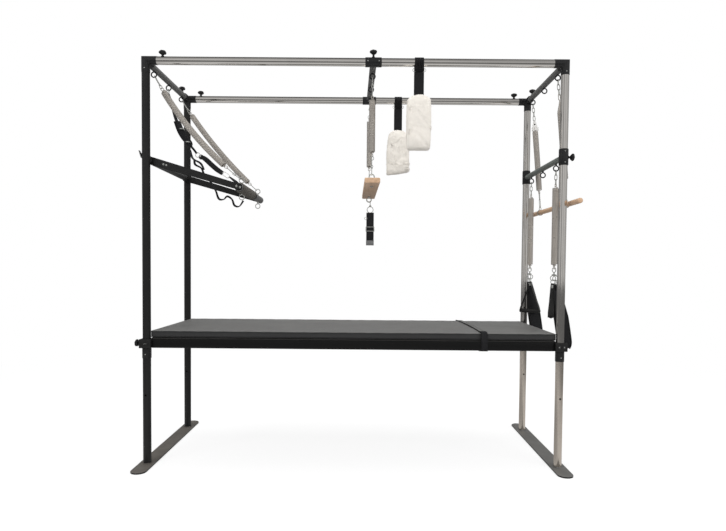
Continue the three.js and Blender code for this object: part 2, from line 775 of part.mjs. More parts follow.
// The webbing that catches the bar: from the crossbar's middle eye, in slack bends, to a loop on the handle.
function addSafetyStrap(handlePlace) {
  const eye = new THREE.Vector3(-postX, 0, railHeight - eyeDrop);
  const down = new THREE.Vector3(0, 0, -1);
  const [x, , z] = handlePlace;
  const loopOuter = pushHandleDiameter + linkClearance * 2 + strapThickness * 2;
  const seam = (loopOuter - strapThickness) / 2 / Math.SQRT2;
  const start = eye.clone().addScaledVector(down, eyeSeat + linkRadius * 2);
  const across = x - seam - start.x;
  const fall = start.z - z - seam;
  const route = strapRouteShares.map(([acrossShare, fallShare], index) => new THREE.Vector3(
    start.x + across * acrossShare,
    (strapHandleOffset * index) / (strapRouteShares.length - 1),
    start.z - fall * fallShare,
  ));
  const sections = route.map(() => strapSection(strapThickness, strapWidth));
  const loop = pipe(
    loopOuter,
    strapThickness,
    [x, strapHandleOffset - strapWidth / 2, z],
    [x, strapHandleOffset + strapWidth / 2, z],
  );
  const parts = [linkOn(eye, down), band(route, sections, yAxis, false), loop];
  addPiece('safety_strap', webbing, geometryOf(joined(parts)));
}

function addMidBar() {
  const place = [midBarPlace, 0, railHeight];
  const barHalf = postY - boreRadius - clearance * 3;
  const half = sliderLength / 2;
  const parts = [rod(midBarDiameter, [0, -barHalf, 0], [0, barHalf, 0], tubeSides)];
  const cuts = [];
  for (const [, depth] of depthNames) {
    const y = depth * postY;
    parts.push(rod(socketRadius * 2, [-half, y, 0], [half, y, 0], tubeSides));
    cuts.push(rod(boreRadius * 2, [-sliderLength, y, 0], [sliderLength, y, 0], tubeSides));
  }
  for (const eye of [-1, 0, 1]) {
    parts.push(...eyeOn([0, eye * eyeOffset, 0], -eyeDrop));
  }
  cuts.push(rod(screwHoleDiameter, [0, -postY, 0], [0, -postY, tubeDiameter], screwSides));
  addPiece('mid_crossbar', barSteel, geometryOf(without(joined(parts), cuts)), place);
  addKnob('mid_knob', [midBarPlace, -postY, railHeight + socketRadius], zUp, knobSleeveReach);
}

// A closed teardrop of points in Y and Z, narrower at its top.
function teardrop(top, bottom, depth, steps) {
  const middle = (top + bottom) / 2;
  const half = (top - bottom) / 2;
  return Array.from({ length: steps }, (_, step) => {
    const angle = (step / steps) * Math.PI * 2;
    const fullness = teardropNeckShare + ((1 - teardropNeckShare) * (1 - Math.cos(angle))) / 2;
    return new THREE.Vector3(0, (depth / 2) * Math.sin(angle) * fullness, middle + half * Math.cos(angle));
  });
}

// The board that hangs from two springs, its eye bolts, and the cuff on its rear bolt.
function addTrapeze() {
  const eyeHeight = boardTop + boardEyeRise;
  const boardBottom = boardTop - boardThickness;
  const nutBottom = boardBottom - clearance - boardNutHeight;
  const holes = [];
  for (const [depthName, depth] of depthNames) {
    const y = depth * eyeOffset;
    const name = `trapeze_spring_${depthName}`;
    const eye = new THREE.Vector3(midBarPlace, y, railHeight - eyeDrop);
    const end = new THREE.Vector3(midBarPlace, y, eyeHeight);
    const lowerEnd = eye.distanceTo(end) - eyeSeat - linkRadius * 2;
    const parts = springParts(name, eye, end, trapezeCoilLead, trapezeCoilTail, lowerEnd);
    parts.push(linkOn(end, zUp));
    addPiece(name, springSteel, geometryOf(joined(parts)));
    holes.push(rod(boardEyeStem + clearance * 4, [0, y, -boardThickness], [0, y, boardThickness], screwSides));
    const boltParts = [
      rod(boardEyeStem, [0, 0, nutBottom], [0, 0, eyeHeight - eyeRadius], screwSides),
      rod(boardNutDiameter, [0, 0, nutBottom], [0, 0, boardBottom - clearance], 6),
      rod(boardNutDiameter, [0, 0, boardTop + clearance], [0, 0, eyeHeight - eyeRadius], 12),
      ring(eyeRadius, eyeWire, [0, 0, eyeHeight], yAxis),
    ];
    if (depth > 0) {
      boltParts.push(ring(eyeRadius, eyeWire, [0, 0, nutBottom - eyeRadius], yAxis));
    }
    addPiece(`trapeze_eye_${depthName}`, springSteel, geometryOf(joined(boltParts)), [midBarPlace, y, 0]);
  }
  const body = without(joined([alongY(boardOutline(), boardLength)]), holes);
  addPiece('trapeze_board', beech, geometryOf(body), [midBarPlace, 0, boardTop - boardThickness / 2]);
  addAnkleCuff(nutBottom - eyeRadius);
}

function boardOutline() {
  const up = boardThickness / 2 - boardEdgeRadius;
  const across = boardWidth / 2 - boardEdgeRadius;
  const outline = new THREE.Shape();
  outline.absarc(up, across, boardEdgeRadius, 0, Math.PI / 2, false);
  outline.absarc(-up, across, boardEdgeRadius, Math.PI / 2, Math.PI, false);
  outline.absarc(-up, -across, boardEdgeRadius, Math.PI, Math.PI * 1.5, false);
  outline.absarc(up, -across, boardEdgeRadius, Math.PI * 1.5, Math.PI * 2, false);
  return outline;
}

function addAnkleCuff(eyeHeight) {
  const down = new THREE.Vector3(0, 0, -1);
  const linkBottom = -eyeSeat - linkRadius * 2;
  const cuffTop = boardTop - cuffDrop - eyeHeight;
  const points = teardrop(cuffTop, cuffTop - cuffLength, cuffDepth, 16);
  const sections = points.map(() => strapSection(cuffThickness, cuffWidth));
  const ringHeight = cuffTop + cuffRingRadius;
  const parts = [
    linkOn(new THREE.Vector3(), down),
    rod(shankDiameter, [0, 0, linkBottom], [0, 0, ringHeight + cuffRingRadius], screwSides),
    ring(cuffRingRadius, linkWire, [0, 0, ringHeight], yAxis),
    band(points, sections, xAxis, true),
  ];
  addPiece('ankle_cuff', webbing, geometryOf(joined(parts)), [midBarPlace, eyeOffset, eyeHeight]);
}

// A sling's strap seen from its end: a teardrop round the rail and two layers that end in a round hem.
function slingOutline(drop) {
  const inner = tubeRadius + clearance * 3;
  const outer = inner + slingStrapThickness;
  const half = slingStrapThickness;
  const overhang = Math.PI / 9;
  const outline = new THREE.Shape();
  outline.absarc(0, 0, outer, -overhang, Math.PI + overhang, false);
  outline.lineTo(-half, -slingThroat);
  outline.absarc(0, -drop, half, Math.PI, Math.PI * 2, false);
  outline.lineTo(half, -slingThroat);
  const hole = new THREE.Path();
  hole.absarc(0, 0, inner, -overhang, Math.PI + overhang, false);
  hole.lineTo(0, half * 2 - slingThroat);
  outline.holes.push(hole);
  return outline;
}

// The wedge cut from a fleece, in which the strap's hem turns.
function pocketOutline() {
  const foot = slingStrapThickness + clearance;
  const height = slingPocketDepth * 2;
  const top = foot + (height + foot) * Math.tan((slingPocketHalfAngle * Math.PI) / 180);
  return new THREE.Shape([
    new THREE.Vector2(-foot, -foot),
    new THREE.Vector2(foot, -foot),
    new THREE.Vector2(top, height),
    new THREE.Vector2(-top, height),
  ]);
}

function softSquare(angle, halfWidth, halfHeight) {
  const soften = (value) => Math.sign(value) * Math.sqrt(Math.abs(value));
  return [halfWidth * soften(Math.cos(angle)), halfHeight * soften(Math.sin(angle))];
}

// A fleece: a thick soft band bent into a flat loop that is open from side to side.
function fleeceBody(width, length) {
  const steps = 20;
  const sides = 10;
  const middle = slingPocketDepth - length / 2;
  const points = Array.from({ length: steps }, (_, step) => {
    const angle = (step / steps) * Math.PI * 2;
    const [y, z] = softSquare(angle, (fleeceDepth - fleeceWall) / 2, (length - fleeceWall) / 2);
    return new THREE.Vector3(0, y, middle + z);
  });
  const section = Array.from({ length: sides }, (_, side) => (
    softSquare((side / sides) * Math.PI * 2, fleeceWall / 2, width / 2)
  ));
  const loop = band(points, points.map(() => section), xAxis, true);
  return without(joined([loop]), [alongX(pocketOutline(), slingPocketWidth)]);
}

function addSling(name, depth, place, width, drop, length) {
  const pivot = railHeight - drop - slingPocketDepth;
  const strap = geometryOf(joined([alongX(slingOutline(railHeight - pivot), slingStrapWidth)]));
  addPiece(`sling_strap_${name}`, webbing, strap, [place, depth * postY, railHeight]);
  const geometry = geometryOf(fleeceBody(width, length));
  addPiece(`sling_fleece_${name}`, fleece, geometry, [place, depth * postY, pivot]);
}

function addSlidingBar() {
  const barHalf = postY - boreRadius - clearance * 3;
  const half = sliderLength / 2;
  const parts = [rod(slidingBarDiameter, [0, -barHalf, 0], [0, barHalf, 0], tubeSides)];
  const cuts = [];
  for (const [, depth] of depthNames) {
    const y = depth * postY;
    parts.push(rod(socketRadius * 2, [0, y, -half], [0, y, half], tubeSides));
    cuts.push(rod(boreRadius * 2, [0, y, -sliderLength], [0, y, sliderLength], tubeSides));
  }
  for (const eye of [-1, 0, 1]) {
    parts.push(...eyeOn([0, eye * eyeOffset, 0], -slidingEyeDrop));
  }
  cuts.push(rod(screwHoleDiameter, [0, -postY, 0], [tubeDiameter, -postY, 0], screwSides));
  addPiece('sliding_crossbar', barSteel, geometryOf(without(joined(parts), cuts)), [postX, 0, slidingBarHeight]);
  addKnob('sliding_knob', [postX + socketRadius, -postY, slidingBarHeight], xAxis, knobSleeveReach);
}

function addRollDown() {
  for (const [depthName, depth] of depthNames) {
    const name = `roll_spring_${depthName}`;
    const eye = new THREE.Vector3(postX, depth * eyeOffset, railHeight - eyeDrop);
    const end = new THREE.Vector3(postX + rollBarPlace, depth * eyeOffset, rollBarHeight);
    const hoopRadius = (rollBarDiameter / 2 + clearance + linkWire / 2) / Math.cos(Math.PI / ringSides);
    const lowerEnd = eye.distanceTo(end) - hoopRadius;
    const parts = springParts(name, eye, end, rollCoilLead, rollCoilTail, lowerEnd);
    parts.push(ring(hoopRadius, linkWire, end.toArray(), yAxis));
    addPiece(name, springSteel, geometryOf(joined(parts)));
  }
  const half = rollBarLength / 2;
  const place = [postX + rollBarPlace, 0, rollBarHeight];
  addPiece('roll_down_bar', beech, rod(rollBarDiameter, [0, -half, 0], [0, half, 0], 24), place);
}

// One hanging set: a spring whose lower end spreads to two eyes, a pull handle and a foot loop.
function addHangingSet(depthName, depth) {
  const handleY = depth * (eyeOffset - handlePlaneShift);
  const loopY = depth * (eyeOffset + loopPlaneShift);
  const springName = `handle_spring_${depthName}`;
  const eye = new THREE.Vector3(postX, depth * eyeOffset, slidingBarHeight - slidingEyeDrop);
  const spreaderHeight = handleEyeHeight + eyeRadius + eyeWire / 2;
  const end = new THREE.Vector3(postX, depth * eyeOffset, spreaderHeight);
  const parts = springParts(springName, eye, end, handleCoilLead, handleCoilTail, eye.distanceTo(end));
  const overhang = depth * eyeWire;
  const spreaderStart = [postX, handleY - overhang, spreaderHeight];
  const spreaderEnd = [postX, loopY + overhang, spreaderHeight];
  parts.push(
    rod(spreaderDiameter, spreaderStart, spreaderEnd, screwSides),
    ring(eyeRadius, eyeWire, [postX, handleY, handleEyeHeight], yAxis),
    ring(eyeRadius, eyeWire, [postX, loopY, handleEyeHeight], yAxis),
  );
  addPiece(springName, springSteel, geometryOf(joined(parts)));
  addPiece(`pull_handle_${depthName}`, webbing, geometryOf(pullHandleBody()), [postX, handleY, handleEyeHeight]);
  const loop = geometryOf(footLoopBody()).rotateY((-footLoopLean * Math.PI) / 180);
  addPiece(`foot_loop_${depthName}`, webbing, loop, [postX, loopY, handleEyeHeight]);
}

function pullHandleBody() {
  const down = new THREE.Vector3(0, 0, -1);
  const top = -eyeSeat - linkRadius * 2 + linkWire;
  const spread = handleGripLength / 2 - handleStrapThickness * 2;
  const slant = handleStrapThickness * 3;
  const outline = new THREE.Shape([
    new THREE.Vector2(top, 0),
    new THREE.Vector2(-handleGripDrop, spread),
    new THREE.Vector2(-handleGripDrop, spread - handleStrapThickness),
    new THREE.Vector2(top - slant, 0),
    new THREE.Vector2(-handleGripDrop, handleStrapThickness - spread),
    new THREE.Vector2(-handleGripDrop, -spread),
  ]);
  const half = handleGripLength / 2;
  return joined([
    linkOn(new THREE.Vector3(), down),
    alongY(outline, handleStrapWidth),
    rod(handleGripDiameter, [-half, 0, -handleGripDrop], [half, 0, -handleGripDrop]),
  ]);
}

function footLoopBody() {
  const down = new THREE.Vector3(0, 0, -1);
  const top = -eyeSeat - linkRadius * 2;
  const points = teardrop(top, -footLoopLength, footLoopDepth, 18);
  const sections = points.map((point) => {
    const share = Math.min(1, ((top - point.z) / (footLoopLength + top)) * 2);
    return strapSection(footLoopThickness, footLoopNeckWidth + (footLoopWidth - footLoopNeckWidth) * share);
  });
  return joined([linkOn(new THREE.Vector3(), down), band(points, sections, xAxis, true)]);
}

addRoot();
addPushBar();
addMidBar();
addTrapeze();
addSling('front', -1, frontSlingPlace, frontFleeceWidth, frontFleeceDrop, frontFleeceLength);
addSling('rear', 1, rearSlingPlace, rearFleeceWidth, rearFleeceDrop, rearFleeceLength);
addSlidingBar();
addRollDown();
for (const [depthName, depth] of depthNames) {
  addHangingSet(depthName, depth);
}

// The frame's origin is under the middle of the table's own bounding box.
const bounds = new THREE.Box3().setFromObject(table);
table.position.x = -(bounds.min.x + bounds.max.x) / 2;
console.log(`centre shift ${table.position.x.toFixed(3)} mm`);

export default table;
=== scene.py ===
"""Finished looks of a pilates trapeze table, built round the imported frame."""
import math

import bmesh
import bpy
from mathutils import Matrix, Vector, noise


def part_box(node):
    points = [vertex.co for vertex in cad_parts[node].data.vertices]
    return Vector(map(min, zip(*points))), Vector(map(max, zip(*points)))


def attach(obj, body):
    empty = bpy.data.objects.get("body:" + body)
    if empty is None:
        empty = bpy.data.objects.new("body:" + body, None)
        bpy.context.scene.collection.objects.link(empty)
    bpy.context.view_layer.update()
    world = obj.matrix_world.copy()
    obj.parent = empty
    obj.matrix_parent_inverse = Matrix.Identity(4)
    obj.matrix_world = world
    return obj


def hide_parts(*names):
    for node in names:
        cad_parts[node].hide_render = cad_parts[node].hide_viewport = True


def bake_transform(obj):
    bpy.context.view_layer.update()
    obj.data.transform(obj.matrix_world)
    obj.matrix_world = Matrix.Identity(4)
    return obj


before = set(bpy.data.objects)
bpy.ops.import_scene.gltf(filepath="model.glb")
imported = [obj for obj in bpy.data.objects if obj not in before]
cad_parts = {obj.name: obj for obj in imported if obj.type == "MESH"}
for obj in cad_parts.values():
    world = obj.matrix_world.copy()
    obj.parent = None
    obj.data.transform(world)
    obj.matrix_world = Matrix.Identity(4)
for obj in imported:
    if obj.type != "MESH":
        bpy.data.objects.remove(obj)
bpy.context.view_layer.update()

# Metres. The same places as the CAD, measured from the middle of the four posts.
POST_X = 1.1
POST_Y = 0.33
RAIL_Z = 2.14
TUBE = 0.042
END_BAR = 0.034
MID_BAR = 0.035
SLIDING_BAR = 0.031
TUBE_WALL = 0.002
SLIDER = 0.0491
SOCKET = 0.0462
SOCKET_REACH = 0.061

FOOT_LENGTH = 0.945
FOOT_FORWARD = 0.0075
FOOT_WIDTH = 0.082
FOOT_THICK = 0.008
FOOT_END = 0.04
LEG_TOP = 0.64
LEG_HOLE_Z = 0.376
LEG_HOLE = 0.0105

BED_LOW = 0.629
BED_HEIGHT = 0.047
BED_RAIL_WIDTH = 0.03
BED_LENGTH = 2.1373
BEARER_X = 0.35
BEARER_HEIGHT = 0.03
BLOCK = 0.062
SLEEVE = 0.0468
SLEEVE_LENGTH = 0.056
BOLT_SPACING = 0.026
BOLT_HEAD = 0.013
DECK_LENGTH = 2.152
DECK_WIDTH = 0.674
DECK_LOW = 0.6762
DECK_THICK = 0.006
PAD_LENGTH = 2.165
PAD_WIDTH = 0.67
PAD_LOW = 0.6826
PAD_EDGE = 0.0385
PAD_CROWN = 0.0045
BELT_X = 0.702
BELT_ASKEW = (-0.0175, 0.032)
BELT_WIDTH = 0.035
BELT_THICK = 0.0024

EYE = 0.0142
EYE_WIRE = 0.0070
EYE_DROP = 0.035
SLIDING_EYE_DROP = 0.039
EYE_Y = 0.22
LINK_WIRE = 0.0042
COIL = 0.0345
COIL_WIRE = 0.004

KNOB = 0.04
KNOB_HEAD = 0.0234
KNOB_HUB = 0.016
KNOB_STEM = 0.0088
MID_KNOB_STEM = 0.0155
RAIL_KNOB_X = 1.011
CROSSBAR_KNOB_Y = 0.235

PIVOT_Z = 1.628
HANDLE_ACROSS = 0.48
HANDLE_DROP = 0.138
ARM_Y = 0.3
ARM_WIDTH = 0.0322
ARM_THICK = 0.008
AXLE = 0.036
PUSH_EYE = 0.046
GRIP = 0.056
GRIP_Y = (-0.27, 0.04)
SAFETY_Y = 0.062

MID_X = 0.088
SLIDER_LENGTH = 0.086
BOARD_WIDTH = 0.082
BOARD_LENGTH = 0.686
BOARD_THICK = 0.028
BOARD_TOP = 1.538
BOARD_EYE_Z = 1.56
CUFF_TOP = 1.408
CUFF_LOW = 1.206
CUFF_WIDTH = 0.047
CUFF_DEPTH = 0.03
SLING_STRAP = 0.052
SLIDING_Z = 1.654
ROLL_X = 1.16
ROLL_Z = 1.418
ROLL_BAR = 0.028
ROLL_LENGTH = 0.84
HANDLE_EYE_Z = 1.014
HANDLE_COIL = (1.51, 1.087)

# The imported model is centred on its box, so every place moves along by the same amount.
post_low, post_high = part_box("post_front_left")
SHIFT = (post_low.x + post_high.x) / 2 + POST_X


def at(x, y, z):
    """A place measured from the middle of the posts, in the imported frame."""
    return Vector((x + SHIFT, y, z))


# What a named socket holds; any other socket is a float.
SOCKET_KINDS = {
    "Vector": "Vector", "Color": "Color", "Light": "Color", "Dark": "Color",
    "Seed": "Int", "Finish": "Material", "Geometry": "Geometry",
}


def wire(tree, node, inputs):
    """Feeds a node's inputs, each from a socket or a plain value."""
    for key, value in inputs.items():
        if isinstance(value, bpy.types.NodeSocket):
            tree.links.new(value, node.inputs[key])
        else:
            node.inputs[key].default_value = value


def put(tree, kind, inputs=None, **settings):
    """A new node with its settings and inputs."""
    node = tree.nodes.new(kind)
    for title, value in settings.items():
        setattr(node, title, value)
    wire(tree, node, inputs or {})
    return node


def add_sockets(tree, in_out, titles):
    """Named sockets on a group's edge."""
    for title in titles:
        kind = "NodeSocket" + SOCKET_KINDS.get(title, "Float")
        tree.interface.new_socket(title, in_out=in_out, socket_type=kind)


def math_node(tree, operation, first, second=None):
    """A Math node fed by sockets or plain numbers."""
    inputs = {0: first} if second is None else {0: first, 1: second}
    return put(tree, "ShaderNodeMath", inputs, operation=operation).outputs[0]


def grey(value):
    """An opaque grey."""
    return (value, value, value, 1.0)


# Camera: the photograph's view, from standing height in front of the table.
CAMERA_AT = (0.0621, -3.1976, 1.0723)
CAMERA_TURN = -0.0015
CAMERA_TILT = -0.03126
CAMERA_ROLL = 0.00848
CAMERA_LENS = 26.8
CAMERA_FILM = 36.0
CAMERA_SHIFT = (-0.0022, 0.0241)


def add_camera():
    """Places the camera from its turn, tilt and roll."""
    ahead = Vector((
        math.sin(CAMERA_TURN) * math.cos(CAMERA_TILT),
        math.cos(CAMERA_TURN) * math.cos(CAMERA_TILT),
        math.sin(CAMERA_TILT),
    ))
    right = Vector((math.cos(CAMERA_TURN), -math.sin(CAMERA_TURN), 0.0))
    up = right.cross(ahead)
    across = math.cos(CAMERA_ROLL) * right + math.sin(CAMERA_ROLL) * up
    upright = math.cos(CAMERA_ROLL) * up - math.sin(CAMERA_ROLL) * right
    data = bpy.data.cameras.new("photo_view")
    data.sensor_width = CAMERA_FILM
    data.lens = CAMERA_LENS
    data.shift_x, data.shift_y = CAMERA_SHIFT
    camera = bpy.data.objects.new("photo_view", data)
    camera.matrix_world = Matrix.Translation(at(*CAMERA_AT)) @ Matrix((
        (across.x, upright.x, -ahead.x, 0.0),
        (across.y, upright.y, -ahead.y, 0.0),
        (across.z, upright.z, -ahead.z, 0.0),
        (0.0, 0.0, 0.0, 1.0),
    ))
    bpy.context.scene.collection.objects.link(camera)
    bpy.context.scene.camera = camera


# Each lamp: name, place, aim, width, height, power.
LAMPS = (
    ("key_left", (-2.6, -3.2, 3.4), (0.0, 0.0, 1.2), 2.2, 2.2, 95.0),
    ("fill_right", (3.0, -2.6, 2.4), (0.2, 0.0, 1.1), 2.0, 2.4, 60.0),
    ("top", (0.0, 0.4, 4.2), (0.0, 0.0, 0.7), 3.2, 2.0, 70.0),
    ("back", (0.6, 3.4, 2.6), (0.0, 0.0, 1.2), 3.0, 1.6, 45.0),
)
# How brightly the room lights the table from straight down, level and straight up.
ROOM_LIGHT = ((0.0, 0.30), (0.5, 0.42), (0.75, 0.80), (1.0, 1.0))
FLOOR_BOUNCE = 0.5


def add_lamps():
    """Soft studio lamps all round."""
    for name, place, aim, width, height, power in LAMPS:
        data = bpy.data.lights.new(name, "AREA")
        data.shape = "RECTANGLE"
        data.size = width
        data.size_y = height
        data.energy = power
        lamp = bpy.data.objects.new(name, data)
        lamp.location = place
        lamp.visible_glossy = False
        lamp.rotation_euler = (Vector(aim) - Vector(place)).to_track_quat("-Z", "Y").to_euler()
        bpy.context.scene.collection.objects.link(lamp)


def ramp_node(tree, stops, factor, smooth="LINEAR"):
    """A colour ramp with the given stops of grey."""
    node = put(tree, "ShaderNodeValToRGB", {0: factor})
    node.color_ramp.interpolation = smooth
    elements = node.color_ramp.elements
    while len(elements) > 1:
        elements.remove(elements[-1])
    elements[0].position, elements[0].color = stops[0][0], grey(stops[0][1])
    for position, value in stops[1:]:
        elements.new(position).color = grey(value)
    return node.outputs["Color"]


# Greys of the room that polished metal mirrors: by height of the ray, and by its bearing.
ROOM_BY_HEIGHT = ((0.0, 0.8), (0.44, 0.85), (0.53, 0.76), (0.65, 0.72), (0.85, 0.62), (0.96, 0.4),
                  (1.0, 0.25))
ROOM_BY_BEARING = (
    (0.0, 0.8), (0.06, 0.85), (0.11, 0.38), (0.15, 0.55), (0.19, 1.0), (0.235, 0.62), (0.29, 0.5),
    (0.34, 0.6),
    (0.41, 0.2), (0.5, 0.3), (0.56, 0.27), (0.62, 0.7), (0.7, 0.25), (0.77, 0.85), (0.83, 0.5), (0.889, 1.0),
    (0.94, 0.6), (1.0, 0.8),
)


def add_room():
    """White to the camera; to polished metal a pale room with darker bands."""
    world = bpy.data.worlds.new("studio")
    world.use_nodes = True
    bpy.context.scene.world = world
    tree = world.node_tree
    tree.nodes.clear()
    paths = put(tree, "ShaderNodeLightPath").outputs
    ray = put(tree, "ShaderNodeTexCoord").outputs["Generated"]
    split = put(tree, "ShaderNodeSeparateXYZ", {0: ray}).outputs
    height = put(tree, "ShaderNodeMapRange", {"From Min": -1.0, "Value": split["Z"]}).outputs["Result"]
    bearing = math_node(tree, "ARCTAN2", split["X"], split["Y"])
    turn = put(tree, "ShaderNodeMapRange", {"From Min": -math.pi, "From Max": math.pi, "Value": bearing})
    room = put(tree, "ShaderNodeMix", {
        "Factor": 1.0,
        "A": ramp_node(tree, ROOM_BY_HEIGHT, height, "EASE"),
        "B": ramp_node(tree, ROOM_BY_BEARING, turn.outputs["Result"], "EASE"),
    }, data_type="RGBA", blend_type="MULTIPLY")
    mirrored = put(tree, "ShaderNodeBackground", {"Color": room.outputs["Result"]})
    plain = put(tree, "ShaderNodeBackground", {"Color": ramp_node(tree, ROOM_LIGHT, height)})
    white = put(tree, "ShaderNodeBackground", {"Color": grey(1.0)})
    glossy = put(tree, "ShaderNodeMixShader", {
        0: paths["Is Glossy Ray"], 1: plain.outputs[0], 2: mirrored.outputs[0],
    })
    seen = put(tree, "ShaderNodeMixShader", {
        0: paths["Is Camera Ray"], 1: glossy.outputs[0], 2: white.outputs[0],
    })
    put(tree, "ShaderNodeOutputWorld", {"Surface": seen.outputs[0]})


FLOOR_SIZE = 60.0
FLOOR_LIFT_NEAR = 0.72
FLOOR_WHITE = 0.9
SHADOW_REACH = (1.6, 4.5)
# What polished metal mirrors of the floor, as a glow: darker under the table, a painted shadow, then bright
# from one distance, dark from another, and both greys.
FLOOR_MIRRORED_REACH = 6.0
FLOOR_MIRRORED_PAINTED_SHADOW = ((0.0, 0.38), (0.15, 0.46), (0.22, 0.74), (0.37, 0.66), (0.55, 0.28), (1.0, 0.15))


def add_floor():
    """A white floor that keeps a soft shadow close to the table."""
    mesh = bpy.data.meshes.new("floor")
    half = FLOOR_SIZE / 2
    corners = [(-half, -half, 0), (half, -half, 0), (half, half, 0), (-half, half, 0)]
    mesh.from_pydata(corners, [], [(0, 1, 2, 3)])
    floor = bpy.data.objects.new("floor", mesh)
    bpy.context.scene.collection.objects.link(floor)
    material = bpy.data.materials.new("white_floor")
    material.use_nodes = True
    tree = material.node_tree
    tree.nodes.clear()
    place = put(tree, "ShaderNodeTexCoord").outputs["Object"]
    reach = put(tree, "ShaderNodeVectorMath", {0: place}, operation="LENGTH").outputs["Value"]
    fade = put(tree, "ShaderNodeMapRange", {
        "From Min": SHADOW_REACH[0], "From Max": SHADOW_REACH[1], "To Min": FLOOR_LIFT_NEAR, "Value": reach,
    }, interpolation_type="SMOOTHSTEP")
    paths = put(tree, "ShaderNodeLightPath").outputs
    bounce = put(tree, "ShaderNodeMix", {
        "A": grey(FLOOR_WHITE), "B": grey(FLOOR_BOUNCE), "Factor": paths["Is Diffuse Ray"],
    }, data_type="RGBA")
    paint = put(tree, "ShaderNodeBsdfDiffuse", {"Color": bounce.outputs["Result"]})
    glow = put(tree, "ShaderNodeEmission")
    seen = math_node(tree, "MULTIPLY", paths["Is Camera Ray"], fade.outputs["Result"])
    lit = put(tree, "ShaderNodeMixShader", {0: seen, 1: paint.outputs[0], 2: glow.outputs[0]})
    # Metal mirrors a glowing floor that is darker under the table: a painted shadow.
    share = math_node(tree, "DIVIDE", reach, FLOOR_MIRRORED_REACH)
    mirrored = put(tree, "ShaderNodeEmission", {"Color": ramp_node(tree, FLOOR_MIRRORED_PAINTED_SHADOW, share, "EASE")})
    glossy = put(tree, "ShaderNodeMixShader", {
        0: paths["Is Glossy Ray"], 1: lit.outputs[0], 2: mirrored.outputs[0],
    })
    put(tree, "ShaderNodeOutputMaterial", {"Surface": glossy.outputs[0]})
    mesh.materials.append(material)


bpy.context.scene.view_settings.view_transform = "Standard"
add_camera()
add_lamps()
add_room()
add_floor()


def circle(radius, sides, start=0.0):
    """A round outline."""
    return [
        (radius * math.cos(start + math.tau * i / sides), radius * math.sin(start + math.tau * i / sides))
        for i in range(sides)
    ]


def spoke(centre, side, other, radius, angle):
    """A place at a radius and an angle, in the plane of two axes."""
    return centre + side * (radius * math.cos(angle)) + other * (radius * math.sin(angle))


def rounded_rectangle(width, height, radius, steps=3):
    """An outline with four rounded corners."""
    points = []
    for quarter, (u, v) in enumerate(((1, 1), (-1, 1), (-1, -1), (1, -1))):
        for step in range(steps + 1):
            angle = math.pi / 2 * (quarter + step / steps)
            points.append((
                u * (width / 2 - radius) + radius * math.cos(angle),
                v * (height / 2 - radius) + radius * math.sin(angle),
            ))
    return points


def smooth_path(points, steps):
    """A Catmull-Rom curve through the points."""
    path = []
    for i in range(len(points) - 1):
        before = points[max(i - 1, 0)]
        here, after = points[i], points[i + 1]
        beyond = points[min(i + 2, len(points) - 1)]
        for step in range(steps):
            t = step / steps
            path.append(0.5 * (
                2 * here + (after - before) * t
                + (2 * before - 5 * here + 4 * after - beyond) * t ** 2
                + (3 * here - before - 3 * after + beyond) * t ** 3
            ))
    path.append(points[-1].copy())
    return path


